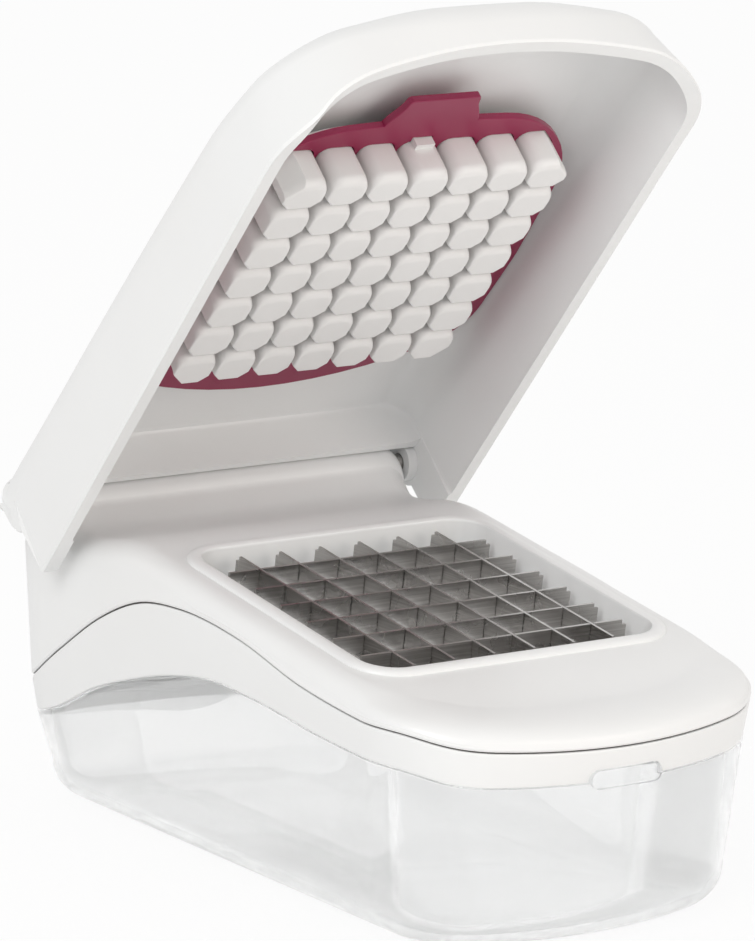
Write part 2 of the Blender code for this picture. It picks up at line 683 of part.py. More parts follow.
def lid_rings(outline):
    """Outside of the lid, from inside its rim round the edge and over the shoulder to the top."""
    rim = lid_rim_level(outline.points(0.4))
    inner = LID_RIM_WIDTH + 0.5
    top = lid_top(outline.points()[:, 1])
    shoulder = np.maximum(top - LID_SHOULDER, rim + 1.2)
    rings = [ring(outline, inner, lid_rim_level(outline.points(inner, 0.5)), 0.5),
             ring(outline, 0.4, rim, 0.2),
             ring(outline, 0.0, np.minimum(rim + 0.8, shoulder - 0.4), 0.0)]
    corner = 2 * outline.rows[:, 3] * np.clip(-outline.rows[:, 4], 0, 1)
    lean = LID_SIDE_LEAN * (1 - np.clip(-outline.rows[:, 4], 0, 1) ** 2) + LID_CORNER_LEAN * corner
    width = LID_SHOULDER + LID_CORNER_EXTRA * corner
    steps = 5
    for step in range(steps + 1):
        angle = math.pi / 2 * step / steps
        turn = 1 - math.cos(angle)
        level = shoulder + (top - shoulder) * math.sin(angle)
        rings.append(ring(outline, lean + width * turn, level, LID_TAIL_ROUND * turn))
    return rings


def lid_cavity_rings():
    """Inner surface of the lid as a solid to cut away, from below the rim up to the ceiling."""
    stations = [y for y in lid_stations() if y < -LID_CAVITY_END - 8]
    back = -LID_CAVITY_END + LID_RIM_WIDTH
    corners, bows = (LID_CORNER, LID_CAVITY_CORNER), (LID_BOW, LID_CAVITY_BOW)
    outline = Outline(LID_HALF_WIDTH, -LID_NOSE, back, corners, bows, stations, LID_STEPS)
    rim = lid_rim_level(outline.points(LID_RIM_WIDTH))
    rim = np.minimum(rim, LID_LIP_HEIGHT)
    ceiling = lid_top(outline.points()[:, 1]) - LID_WALL
    inner_round = LID_SHOULDER - LID_WALL
    corner = 2 * outline.rows[:, 3] * np.clip(-outline.rows[:, 4], 0, 1)
    draft = 0.6 + LID_CORNER_LEAN * corner / 2
    width = inner_round + LID_CORNER_EXTRA * corner
    rings = [ring(outline, LID_RIM_WIDTH, -CUTTER_DEPTH, LID_RIM_WIDTH),
             ring(outline, LID_RIM_WIDTH, rim + 1.5, LID_RIM_WIDTH)]
    steps = 4
    for step in range(steps + 1):
        angle = math.pi / 2 * step / steps
        turn = 1 - math.cos(angle)
        level = ceiling - inner_round * (1 - math.sin(angle))
        rings.append(ring(outline, LID_RIM_WIDTH + draft + width * turn, level, LID_RIM_WIDTH + 1.8 * turn))
    return rings


def hinge_pocket_outline():
    """Room for the hinge barrel, between the cavity's back wall and the tail's end wall."""
    back_wall = -LID_CAVITY_END + LID_LIP_THICK
    ceiling = float(lid_top(0.0)) - LID_WALL - 0.6
    end_wall = -LID_TAIL - LID_WALL
    front = -LID_CAVITY_END - 3.5
    behind = -LID_TAIL + 4.0
    return [(front, -CUTTER_DEPTH), (front, LID_LIP_HEIGHT), (back_wall, LID_LIP_HEIGHT),
            (back_wall, ceiling - 2.0), (back_wall + 2.0, ceiling),
            (end_wall - 2.0, ceiling), (end_wall, ceiling - 2.0),
            (end_wall, LID_TAIL_UNDERSIDE), (behind, LID_TAIL_UNDERSIDE), (behind, -CUTTER_DEPTH)]


def screw_places():
    """(x, y) of each pusher screw in the lid's frame."""
    return [(side * SCREW_X, -reach) for side in (-1, 1) for reach in SCREW_REACH]


def cylinders(name, radius, steps, places, low, high):
    return joined(name, [extruded(name, circle(radius, steps, place), "z", low, high) for place in places])


def make_lid(material, collection, cutters, lid_axis):
    outline = lid_outline(lid_stations())
    lid = add_object("lid", mesh_from_rings("lid", lid_rings(outline)), material, collection, lid_axis)
    cavity = add_cutter("lid_cavity", mesh_from_rings("lid_cavity", lid_cavity_rings()), cutters, lid_axis)
    boolean(lid, cavity)
    pocket = extruded("hinge_pocket", hinge_pocket_outline(), "x", -POCKET_HALF_WIDTH, POCKET_HALF_WIDTH)
    boolean(lid, add_cutter("hinge_pocket", pocket, cutters, lid_axis))
    hubs = [extruded("hub", circle(HUB_RADIUS, 20), "x", side * HUB_INNER_X, side * (LID_HALF_WIDTH - 1.6))
            for side in (-1, 1)]
    boolean(lid, add_cutter("lid_hubs", joined("lid_hubs", hubs), cutters, lid_axis), "UNION")
    section, outer = circle(PIN_RADIUS + PIN_CLEARANCE, 16), PIN_OUTER_X + FIT_GAP
    inner = HUB_INNER_X - PIN_LEAD
    bores = [extruded("bore", section, "x", side * inner, side * outer) for side in (-1, 1)]
    boolean(lid, add_cutter("lid_bores", joined("lid_bores", bores), cutters, lid_axis))
    post_foot = PLATE_LEVEL + PLATE_THICK + FIT_GAP
    post_top = float(lid_top(-SCREW_REACH[0])) - LID_WALL / 2
    posts = cylinders("lid_posts", POST_RADIUS, 14, screw_places(), post_foot, post_top)
    boolean(lid, add_cutter("lid_posts", posts, cutters, lid_axis), "UNION")
    depth = PLATE_LEVEL + SCREW_LENGTH + SCREW_CLEARANCE
    bore = SCREW_RADIUS + SCREW_CLEARANCE
    pilots = cylinders("lid_pilots", bore, 10, screw_places(), post_foot - 1, depth)
    boolean(lid, add_cutter("lid_pilots", pilots, cutters, lid_axis))
    return lid


def make_pins(material, collection):
    for name, side in (("hinge_pin_left", -1), ("hinge_pin_right", 1)):
        mesh = extruded(name, circle(PIN_RADIUS, 16), "x", side * PIN_INNER_X, side * PIN_OUTER_X)
        pin = add_object(name, mesh, material, collection)
        pin.location = (0.0, HINGE_Y * MM, HINGE_Z * MM)


def octagon(low_x, high_x, low_y, high_y, cuts):
    """Rectangle with cut corners, anticlockwise from the lower right. Each cut is one corner's chamfer."""
    lower_right, upper_right, upper_left, lower_left = cuts
    return [
        (high_x - lower_right, low_y), (high_x, low_y + lower_right),
        (high_x, high_y - upper_right), (high_x - upper_right, high_y),
        (low_x + upper_left, high_y), (low_x, high_y - upper_left),
        (low_x, low_y + lower_left), (low_x + lower_left, low_y),
    ]


def finger_section(row, column, grow=0.0):
    """Outline of one finger about its centre. Outer columns and the nose row reach a little further out."""
    half = FINGER_SIZE / 2 + grow
    last = CELLS - 1
    low_x = -half - EDGE_FINGER_EXTRA * (column == 0)
    high_x = half + EDGE_FINGER_EXTRA * (column == last)
    low_y = -half - EDGE_FINGER_EXTRA * (row == 0)
    cuts = []
    for right, nose in ((True, True), (True, False), (False, False), (False, True)):
        at_side = column == (last if right else 0)
        at_end = row == (0 if nose else last)
        outer_cut = CORNER_CHAMFER if at_side and at_end else EDGE_CHAMFER
        cuts.append(outer_cut if at_side or at_end else FINGER_CHAMFER)
    return octagon(low_x, high_x, low_y, half, cuts)


def finger_mesh(row, column):
    """One finger from the plate down to its softly rounded tip."""
    builder = bmesh.new()
    centre_x, centre_y = finger_centre(row, column)
    levels = [(PLATE_LEVEL + 0.6, 0.0)]
    for step in range(3):
        angle = math.pi / 2 * step / 2
        pull = FINGER_TIP_ROUND * (1 - math.cos(angle))
        levels.append((TIP_LEVEL + FINGER_TIP_ROUND * (1 - math.sin(angle)), -pull))
    loops = []
    for height, grow in levels:
        section = [(centre_x + u, centre_y + v) for u, v in finger_section(row, column, grow)]
        loops.append([builder.verts.new((u * MM, v * MM, height * MM)) for u, v in section])
    for lower, upper in zip(loops, loops[1:]):
        for i in range(8):
            builder.faces.new((lower[i], lower[(i + 1) % 8], upper[(i + 1) % 8], upper[i]))
    builder.faces.new(loops[0])
    builder.faces.new(loops[-1])
    bmesh.ops.recalc_face_normals(builder, faces=builder.faces)
    mesh = bpy.data.meshes.new("finger")
    builder.to_mesh(mesh)
    builder.free()
    return mesh


def finger_centre(row, column):
    return (column - (CELLS - 1) / 2) * PITCH, -(FIRST_ROW_REACH - row * PITCH)


def finger_places():
    return [(row, column) for row in range(CELLS) for column in range(CELLS)]


def tapered(points):
    """Draws the grid's outline in towards the nose."""
    points[:, 0] *= 1 - GRID_TAPER * np.clip(-points[:, 1] - GRID_TAPER_FROM, 0, None)
    return points


def grid_ring(inset, level):
    corners, bows = (GRID_TOP_CORNER, GRID_LOW_CORNER), (GRID_TOP_BOW, GRID_LOW_BOW)
    stations = (-GRID_TAPER_FROM, -GRID_TAPER_FROM + 20.0)
    outline = Outline(GRID_HALF_WIDTH, -GRID_TOP_REACH, -GRID_LOW_REACH, corners, bows, stations, GRID_STEPS)
    return tapered(ring(outline, inset, level))


def nub_box(grow, low, high):
    """Box of the small catch in front of the middle finger of the nose row."""
    front = FIRST_ROW_REACH + FINGER_SIZE / 2 + EDGE_FINGER_EXTRA
    half = NUB_HALF_WIDTH + grow
    proud, root = -front - NUB_PROUD - grow, 1.0 - front
    section = [(-half, proud), (half, proud), (half, root), (-half, root)]
    return extruded("nub", section, "z", low, high)


def make_pusher(material, collection, cutters, lid_axis):
    rings = [grid_ring(PLATE_INSET, PLATE_LEVEL), grid_ring(PLATE_INSET, PLATE_LEVEL + PLATE_THICK)]
    mesh = mesh_from_rings("pusher", rings, flat=True)
    pusher = add_object("pusher", mesh, material, collection, lid_axis, 30.0)
    bore = SCREW_RADIUS + SCREW_CLEARANCE
    holes = cylinders("plate_holes", bore, 10, screw_places(), 0.0, PLATE_LEVEL + 9)
    boolean(pusher, add_cutter("plate_holes", holes, cutters, lid_axis))
    seat = PLATE_LEVEL + SCREW_HEAD_HEIGHT + SCREW_CLEARANCE
    seats = cylinders("head_seats", SCREW_HEAD_RADIUS + SCREW_CLEARANCE, 14, screw_places(), 0.0, seat)
    boolean(pusher, add_cutter("head_seats", seats, cutters, lid_axis))
    fingers = joined("fingers", [finger_mesh(row, column) for row, column in finger_places()])
    boolean(pusher, add_cutter("fingers", fingers, cutters, lid_axis), "UNION")
    nub = nub_box(0.0, GRID_LEVEL - NUB_HEIGHT, PLATE_LEVEL + 0.5)
    boolean(pusher, add_cutter("pusher_nub", nub, cutters, lid_axis), "UNION")
    return pusher


def make_screws(material, collection, lid_axis):
    """Pan-headed screws, heads in the plate's seats and shanks in the lid's posts."""
    neck, end = PLATE_LEVEL + SCREW_HEAD_HEIGHT, PLATE_LEVEL + SCREW_LENGTH
    profile = [(0.0, PLATE_LEVEL), (SCREW_HEAD_RADIUS, PLATE_LEVEL), (SCREW_HEAD_RADIUS, neck),
               (SCREW_RADIUS, neck), (SCREW_RADIUS, end), (0.0, end)]
    for number, (x, y) in enumerate(screw_places(), 1):
        mesh = turned(f"pusher_screw_{number}", profile, 10, (x, y))
        add_object(f"pusher_screw_{number}", mesh, material, collection, lid_axis)


def tab_outline(inset):
    """Right half of the pull tab, flared at its foot, from the nose side to inside the grid."""
    top = TAB_REACH - inset
    foot = GRID_TOP_REACH - 1.0
    top_half, foot_half = TAB_TOP_HALF - inset, TAB_FOOT_HALF - inset
    points = [(0.0, -top), (top_half - TAB_CORNER, -top), (top_half - 0.9, -top + 0.9),
              (top_half, -top + TAB_CORNER), (foot_half - 2.0, -foot - 3.0), (foot_half, -foot - 0.5),
              (foot_half, -foot + 6.0), (0.0, -foot + 6.0)]
    return np.array(points)


def make_cleaning_grid(material, collection, cutters, lid_axis):
    top = GRID_LEVEL + GRID_THICK
    rings = [grid_ring(0.5, GRID_LEVEL), grid_ring(0.0, GRID_LEVEL + 0.5), grid_ring(0.0, top)]
    mesh = mesh_from_rings("cleaning_grid", rings, flat=True)
    grid = add_object("cleaning_grid", mesh, material, collection, lid_axis, 30.0)
    tab_rings = [np.c_[tab_outline(inset), np.full(8, level)]
                 for inset, level in ((0.5, GRID_LEVEL), (0.0, GRID_LEVEL + 0.5), (0.0, top))]
    tab = add_cutter("pull_tab", mesh_from_rings("pull_tab", tab_rings, flat=True), cutters, lid_axis)
    boolean(grid, tab, "UNION")
    holes = []
    for row, column in finger_places():
        x, y = finger_centre(row, column)
        section = [(x + u, y + v) for u, v in finger_section(row, column, GRID_HOLE_CLEARANCE)]
        holes.append(extruded("hole", section, "z", TIP_LEVEL - 1, top + 2))
    boolean(grid, add_cutter("finger_holes", joined("finger_holes", holes), cutters, lid_axis))
    notch = nub_box(GRID_HOLE_CLEARANCE, TIP_LEVEL - 1, top + 2)
    boolean(grid, add_cutter("nub_notch", notch, cutters, lid_axis))
    return grid


def pill_outline(grow):
    """Stadium outline of the catch on the tub's front, as (x, z) pairs."""
    radius = CATCH_HEIGHT / 2 + grow
    centre = CATCH_HALF_WIDTH - CATCH_HEIGHT / 2
    points = []
    for side in (1, -1):
        for step in range(9):
            angle = side * math.pi / 2 - math.pi * step / 8
            points.append((side * centre + radius * math.cos(angle), CATCH_Z + radius * math.sin(angle)))
    return points


def make_frames(collection):
    deck_frame = bpy.data.objects.new("deck_frame", None)
    deck_frame.location = (0.0, FIRST_BLADE_Y * MM, FIRST_BLADE_Z * MM)
    deck_frame.rotation_euler = (DECK_SLOPE, 0.0, 0.0)
    lid_axis = bpy.data.objects.new("lid_axis", None)
    lid_axis.location = (0.0, HINGE_Y * MM, HINGE_Z * MM)
    lid_axis.rotation_euler = (DECK_SLOPE - LID_OPEN, 0.0, 0.0)
    for frame in (deck_frame, lid_axis):
        collection.objects.link(frame)
    return deck_frame, lid_axis


def build():
    clear_scene()
    collection = make_collection("food_chopper")
    cutters = make_collection("cutters", hidden=True)
    white = make_material("white_plastic", (0.86, 0.87, 0.87), 0.32)
    clear = make_material("clear_plastic", (0.90, 0.92, 0.92), 0.08, transmission=1.0)
    magenta = make_material("magenta_plastic", (0.26, 0.022, 0.08), 0.42)
    steel = make_material("blade_steel", (0.40, 0.38, 0.36), 0.28, metallic=1.0)
    dark = make_material("dark_seal", (0.05, 0.045, 0.045), 0.6)
    deck_frame, lid_axis = make_frames(collection)
    make_tub(clear, collection, cutters)
    make_collar(white, collection, cutters)
    make_seal(dark, collection)
    make_deck(white, collection, cutters, deck_frame)
    make_carrier(white, collection, cutters, deck_frame)
    make_blades(steel, collection, deck_frame)
    make_lid(white, collection, cutters, lid_axis)
    make_pusher(white, collection, cutters, lid_axis)
    make_screws(steel, collection, lid_axis)
    make_cleaning_grid(magenta, collection, cutters, lid_axis)
    make_pins(steel, collection)


build()
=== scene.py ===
"""Looks of the press-lid food chopper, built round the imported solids: the same forms, drawn finer."""

import math

import bmesh
import bpy
import numpy as np
from mathutils import Matrix, Vector


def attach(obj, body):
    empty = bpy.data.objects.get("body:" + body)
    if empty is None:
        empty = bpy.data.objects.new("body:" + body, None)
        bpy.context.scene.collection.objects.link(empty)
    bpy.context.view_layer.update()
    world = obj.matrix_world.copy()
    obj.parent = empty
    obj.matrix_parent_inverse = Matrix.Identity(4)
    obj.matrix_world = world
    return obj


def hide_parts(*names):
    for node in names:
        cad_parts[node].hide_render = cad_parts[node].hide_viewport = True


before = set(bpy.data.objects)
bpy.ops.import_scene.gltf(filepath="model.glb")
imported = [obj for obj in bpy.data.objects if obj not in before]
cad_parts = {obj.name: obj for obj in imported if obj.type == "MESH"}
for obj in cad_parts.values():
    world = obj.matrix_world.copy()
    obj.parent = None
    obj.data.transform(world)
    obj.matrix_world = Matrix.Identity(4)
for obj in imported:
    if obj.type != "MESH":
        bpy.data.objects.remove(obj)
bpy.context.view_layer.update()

# Camera fitted to the photograph's view, in metres.
CAMERA_PLACE = (-0.8499919, -1.2377480, 0.4184456)
CAMERA_ROWS = (
    (0.8276566769, 0.0993185901, -0.5523769029),
    (-0.5608928437, 0.1807252637, -0.8079217765),
    (0.0195868097, 0.9785061046, 0.2052855576),
)
CAMERA_LENS = 220.45478
CAMERA_SENSOR = 36.0
CAMERA_FAR = 12.0

# Light levels.
WORLD_LIGHT = 0.66
SEEN_WHITE = 1.0
KEY_PLACE = (-1.25, -0.75, 1.0)
KEY_SIZE = 0.9
KEY_POWER = 11.0
FILL_PLACE = (0.55, -1.4, 0.3)
FILL_SIZE = 1.0
FILL_POWER = 6.6
FILL_COLOR = (1.0, 0.92, 0.85)
FLOOR_HALF = 3.0
FLOOR_DROP = 0.0004
FLOOR_SEEN_WHITE = 0.92

# Fineness: segments along bows and round corners, spacing of stations, and steps over a shoulder.
BODY_STEPS = ((8, 16), (5, 14))
LID_STEPS = ((8, 20), (4, 6))
SMALL_STEPS = ((1, 10), (1, 10))
BARREL_STEPS = 20
HUB_STEPS = 40
BORE_STEPS = 32
POST_STEPS = 28
HOLE_STEPS = 20
PILL_STEPS = 16
GRID_STEPS = ((6, 12), (6, 10))
STATION_GAP = 3.5
BODY_START = -76.0
WAVE_END = 84.0
LID_STATIONS = (-160.0, -10.0)
EAR_STATIONS = (-6.0, -4.0, -2.0, 3.6, 4.6, 5.5, 6.2, 6.7)
SHOULDER_STEPS = 12
LIP_STEPS = 5
SHARP_ANGLE = math.radians(32)
LID_SHARP_ANGLE = math.radians(20)
NORMAL_WEIGHT = 60
WELD = 0.00003

# Fingers: the tip rolls over softly towards the nose and crisply elsewhere.
NOSE_ROLL = 2.8
SIDE_ROLL = 0.5
HEEL_ROLL = 0.4
NOSE_CORNER = 3.2
HEEL_CORNER = 2.4
ROLL_STEPS = 6
NOSE_ROW_EXTRA = -1.2
TAB_TIGHT = 1.2
SEAM_TIGHTER = 0.3
CORNER_POINTS = 4

# Sizes of the solids, in millimetres.
MM = 0.001
HALF_WIDTH = 58.0
FRONT_Y = -110.5
BACK_Y = 107.7
FRONT_CORNER = 32.0
BACK_CORNER = 26.0
FRONT_BOW = 110.0
BACK_BOW = 400.0
SEAM = ((-110.5, 52.8), (-100, 54.8), (-90, 57.2), (-72, 58.2), (-45, 61.2), (-16, 67.3), (13, 69.4),
        (33, 67.1), (53, 58.8), (74, 45.6), (88, 36.4), (98, 32.7), (110.5, 31.5))
COLLAR_FOOT = ((-110.5, 44.0), (-100, 45.2), (-90, 47.6), (-72, 48.6), (-54, 49.6), (-20, 52.7), (-1, 53.2),
               (18, 50.3), (38, 45.0), (59, 37.8), (77, 29.0), (88, 25.7), (98, 24.0), (110.5, 23.5))
PITCH = 12.7
CELLS = 7
DECK_SLOPE = math.radians(8.43)
FIRST_BLADE_Y = -49.5
FIRST_BLADE_Z = 68.3
PLATEAU_RISE = 0.6
SEAM_GAP = 0.8
# Inset and depth of the dark ring in the seam gap, which is painted shade for the gap's shadow.
SEAM_SHADE_INSET = 1.3
SEAM_SHADE_DEPTH = 3.2
DECK_WALL = 2.6
SHOULDER_DROP = 6.0
REAR_FLARE = 5.1
SIDE_ROUND = 7.0
NOSE_ROUND = 18.0
NOSE_FROM_Y = -60.0
NOSE_TO_Y = -96.0
NOSE_FALL = 1.7
REAR_PROFILE = ((46, 81.4), (56, 79.8), (63, 79.0), (69, 79.6), (73, 82.0))
SHELF_Y = 90.0
SHELF_Z = 76.8
SHELF_END_Z = 74.8
VALLEY_Y = 63.0
OPENING_MARGIN = 1.1
OPENING_CORNER = 9.0
OPENING_BOW = 4000.0
LIP_WIDTH = 4.2
LIP_TOP = 1.9
LIP_ROUND = 1.1
SLEEVE_DEPTH = 13.0
OPENING_CUT = 0.6
HOLLOW_SKIRT = 12.0
CUT_PAST = 20.0
BLADE_COUNT = 6
HINGE_Y = 80.8
HINGE_Z = 85.1
BARREL_RADIUS = 5.5
LID_OPEN = math.radians(54.6)
PIN_RADIUS = 2.4
PIN_CLEARANCE = 0.25
PIN_INNER_X = 50.0
PIN_BORE_END = 1.0
PIN_LEAD = 18.6
HUB_RADIUS = 5.5
HUB_CLEARANCE = 0.6
HUB_INNER_X = HALF_WIDTH + HUB_CLEARANCE
EAR_RADIUS = 7.0
EAR_BACK = -2.5
LID_OVERHANG = 8.5
LID_HALF_WIDTH = HALF_WIDTH + LID_OVERHANG
LID_NOSE_OVERHANG = 1.5
LID_NOSE = HINGE_Y - FRONT_Y + LID_NOSE_OVERHANG
LID_TAIL = -17.0
LID_CORNER = 27.0
LID_TAIL_CORNER = 6.0
LID_TAIL_ROUND = 2.5
LID_BOW = 420.0
LID_RIM_WIDTH = 4.2
LID_WALL = 2.8
LID_TOP_LINE = ((-17, 15.5), (0, 16.1), (30, 17.0), (61, 18.1), (105, 19.1), (150, 19.5), (193, 19.5))
LID_SHOULDER = 12.0
LID_CORNER_EXTRA = 10.0
LID_CORNER_SWEEP = 46.0
LID_CORNER_LEAN = 3.0
LID_SIDE_LEAN = 1.6
LID_RIM_LINE = ((155.0, -11.3), (8.0, -19.4))
LID_NOSE_ARCH = ((0, 0.7), (16.7, 0.0), (28.7, -1.4), (41.2, -3.4), (48, -4.9), (55.4, -7.6), (59, -10.0),
                 (66.5, -11.3))
LID_TAIL_UNDERSIDE = 6.6
LID_CAVITY_END = 8.5
LID_CAVITY_BOW = 4000.0
LID_CAVITY_CORNER = 6.7
LID_LIP_HEIGHT = 0.5
LID_LIP_THICK = 2.1
POCKET_SIDE_STEP = 0.8
POCKET_HALF_WIDTH = LID_HALF_WIDTH - LID_RIM_WIDTH - POCKET_SIDE_STEP
PIN_OUTER_X = LID_HALF_WIDTH - 2.1
CUTTER_DEPTH = 60.0
TIP_LEVEL = -2.5
FIRST_CELL_ALONG = (HINGE_Y - FIRST_BLADE_Y) * math.cos(DECK_SLOPE) + PITCH / 2
FIRST_CELL_BELOW = (HINGE_Z - FIRST_BLADE_Z) * math.sin(DECK_SLOPE)
FIRST_ROW_REACH = round(FIRST_CELL_ALONG + FIRST_CELL_BELOW, 1)
LAST_ROW_REACH = FIRST_ROW_REACH - (CELLS - 1) * PITCH
FINGER_SIZE = 11.0
EDGE_FINGER_EXTRA = 1.15
CORNER_CHAMFER = 6.5
GRID_LEVEL = 8.7
GRID_THICK = 2.0
GRID_HOLE_CLEARANCE = 0.35
GRID_SIDE_ROOM = 2.3
GRID_HALF_WIDTH = LID_HALF_WIDTH - LID_RIM_WIDTH - GRID_SIDE_ROOM
GRID_TAPER = 0.0016
GRID_TAPER_FROM = FIRST_ROW_REACH - 52.7
GRID_TOP_REACH = FIRST_ROW_REACH + 12.2
GRID_LOW_REACH = LAST_ROW_REACH - 28.5
GRID_TOP_CORNER = 34.0
GRID_LOW_CORNER = 20.0
GRID_TOP_BOW = 440.0
GRID_LOW_BOW = 110.0
TAB_TOP_HALF = 11.3
TAB_FOOT_HALF = 15.0
TAB_LENGTH = 9.6
TAB_REACH = GRID_TOP_REACH + TAB_LENGTH
PLATE_LEVEL = 11.0
PLATE_THICK = 2.4
PLATE_INSET = 4.0
SCREW_X = 49.5
SCREW_REACH = (LAST_ROW_REACH + 0.5, FIRST_ROW_REACH - 33.7)
SCREW_RADIUS = 1.5
SCREW_HEAD_RADIUS = 2.9
SCREW_HEAD_HEIGHT = 1.2
SCREW_LENGTH = 5.4
SCREW_CLEARANCE = 0.25
POST_RADIUS = 3.6
NUB_HALF_WIDTH = 2.9
NUB_PROUD = 1.6
NUB_HEIGHT = 2.4
TUB_DRAFT = 0.128
TUB_WALL = 2.2
TUB_FLOOR = 2.4
TUB_FOOT_ROUND = 11.0
TUB_FLUSH_INSET = 1.7
COLLAR_WALL = 2.3
TUB_RIM_ABOVE = 6.0
FIT_GAP = 0.3
CATCH_HALF_WIDTH = 11.0
CATCH_HEIGHT = 4.8
CATCH_Z = 44.7
CATCH_PROUD = 0.6
CATCH_GAP = 0.35

# Frames of the sloping deck and of the open lid.
DECK_FRAME = (Matrix.Translation((0.0, FIRST_BLADE_Y * MM, FIRST_BLADE_Z * MM))
              @ Matrix.Rotation(DECK_SLOPE, 4, "X"))
LID_FRAME = (Matrix.Translation((0.0, HINGE_Y * MM, HINGE_Z * MM))
             @ Matrix.Rotation(DECK_SLOPE - LID_OPEN, 4, "X"))


def smooth_curve(points, at):
    """Cubic Hermite curve through (position, value) pairs."""
    xs = np.array([p[0] for p in points], float)
    ys = np.array([p[1] for p in points], float)
    slopes = np.gradient(ys, xs)
    at = np.clip(np.asarray(at, float), xs[0], xs[-1])
    index = np.clip(np.searchsorted(xs, at) - 1, 0, len(xs) - 2)
    span = xs[index + 1] - xs[index]
    t = (at - xs[index]) / span
    rise = ys[index + 1] - ys[index]
    return (ys[index] + rise * (3 * t**2 - 2 * t**3)
            + slopes[index] * span * (t - 2 * t**2 + t**3)
            + slopes[index + 1] * span * (t**3 - t**2))


def smooth_step(value, start, end):
    t = np.clip((np.asarray(value, float) - start) / (end - start), 0, 1)
    return t * t * (3 - 2 * t)


def end_arcs(half_width, tip, corner, bow, outward, steps):
    """(centre x, centre y, radius, direction x, direction y) for each point from the tip to the side."""
    blend = math.asin((half_width - corner) / (bow - corner))
    bow_centre = tip - outward * bow
    corner_y = bow_centre + outward * (bow - corner) * math.cos(blend)
    bow_steps, arc_steps = steps
    rows = []
    for step in range(bow_steps + 1):
        angle = blend * step / bow_steps
        rows.append((0.0, bow_centre, bow, math.sin(angle), outward * math.cos(angle)))
    for step in range(1, arc_steps + 1):
        angle = blend + (math.pi / 2 - blend) * step / arc_steps
        rows.append((half_width - corner, corner_y, corner, math.sin(angle), outward * math.cos(angle)))
    return np.array(rows)


class Outline:
    """Right half of a plan outline, front centre to back centre, that can be inset point by point."""

    def __init__(self, half_width, front, back, corners, bows, places, steps):
        front_rows = end_arcs(half_width, front, corners[0], bows[0], -1, steps[0])
        back_rows = end_arcs(half_width, back, corners[1], bows[1], 1, steps[1])[::-1]
        first, last = front_rows[-1, 1], back_rows[0, 1]
        inner = [y for y in places if first + 0.5 < y < last - 0.5]
        side = np.array([(half_width, y, 0.0, 1.0, 0.0) for y in inner]).reshape(-1, 5)
        self.rows = np.vstack([front_rows, side, back_rows])
        self.count = len(self.rows)
        self.half_width = half_width
        self.back_count = len(back_rows)

    def points(self, inset=0.0, back_inset=None):
        """Insets every point along its normal. A back inset draws in the back end and keeps its corners."""
        inset = np.broadcast_to(np.asarray(inset, float), (self.count,))
        reach = self.rows[:, 2] - inset
        x = self.rows[:, 0] + self.rows[:, 3] * reach
        y = self.rows[:, 1] + self.rows[:, 4] * reach
        if back_inset is not None:
            back = slice(self.count - self.back_count, self.count)
            rows = self.rows[back]
            x[back] = (rows[:, 0] + rows[:, 3] * rows[:, 2]) * (1 - inset[back] / self.half_width)
            y[back] = rows[:, 1] + rows[:, 4] * (rows[:, 2] - back_inset)
        x[0] = x[-1] = 0.0
        return np.c_[x, y]


def ring(outline, inset, height, back_inset=None):
    plan = outline.points(inset, back_inset)
    return np.c_[plan, np.broadcast_to(height, (outline.count,))]


def mesh_from_rings(name, rings, closed_loop=False, flat=False):
    """Skins rings of right-half points and their mirror images. Open stacks get laddered or flat caps."""
    mesh_builder = bmesh.new()
    sides = []
    for points in rings:
        right = [mesh_builder.verts.new(tuple(p * MM)) for p in points]
        left = [right[0]]
        left += [mesh_builder.verts.new((-p[0] * MM, p[1] * MM, p[2] * MM)) for p in points[1:-1]]
        left.append(right[-1])
        sides.append((right, left))
    pairs = list(zip(sides, sides[1:]))
    if closed_loop:
        pairs.append((sides[-1], sides[0]))
    for lower, upper in pairs:
        for below, above in zip(lower, upper):
            for i in range(len(below) - 1):
                mesh_builder.faces.new((below[i], below[i + 1], above[i + 1], above[i]))
    if not closed_loop:
        for right, left in (sides[0], sides[-1]):
            if flat:
                mesh_builder.faces.new(right + left[-2:0:-1])
                continue
            for i in range(len(right) - 1):
                corners = [right[i], right[i + 1], left[i + 1], left[i]]
                mesh_builder.faces.new(list(dict.fromkeys(corners)))
    bmesh.ops.recalc_face_normals(mesh_builder, faces=mesh_builder.faces)
    mesh = bpy.data.meshes.new(name)
    mesh_builder.to_mesh(mesh)
    mesh_builder.free()
    return mesh


def extruded(name, outline, axis, start, end):
    """Closed prism of a 2D outline. The axis letter names the direction it is extruded in."""
    place = {
        "x": lambda u, v, w: (w, u, v),
        "y": lambda u, v, w: (u, w, v),
        "z": lambda u, v, w: (u, v, w),
    }[axis]
    builder = bmesh.new()
    near = [builder.verts.new([c * MM for c in place(u, v, start)]) for u, v in outline]
    far = [builder.verts.new([c * MM for c in place(u, v, end)]) for u, v in outline]
    builder.faces.new(near)
    builder.faces.new(far[::-1])
    count = len(outline)
    for i in range(count):
        builder.faces.new((near[i], far[i], far[(i + 1) % count], near[(i + 1) % count]))
    bmesh.ops.recalc_face_normals(builder, faces=builder.faces)
    mesh = bpy.data.meshes.new(name)
    builder.to_mesh(mesh)
    builder.free()
    return mesh


def circle(radius, steps, centre=(0.0, 0.0)):
    angles = [2 * math.pi * i / steps for i in range(steps)]
    return [(centre[0] + radius * math.cos(a), centre[1] + radius * math.sin(a)) for a in angles]


def joined(name, meshes):
    """One mesh from several closed meshes that stay separate solids."""
    builder = bmesh.new()
    for mesh in meshes:
        builder.from_mesh(mesh)
    result = bpy.data.meshes.new(name)
    builder.to_mesh(result)
    builder.free()
    return result


def deck_plane(y):
    return FIRST_BLADE_Z + (np.asarray(y, float) - FIRST_BLADE_Y) * math.tan(DECK_SLOPE)


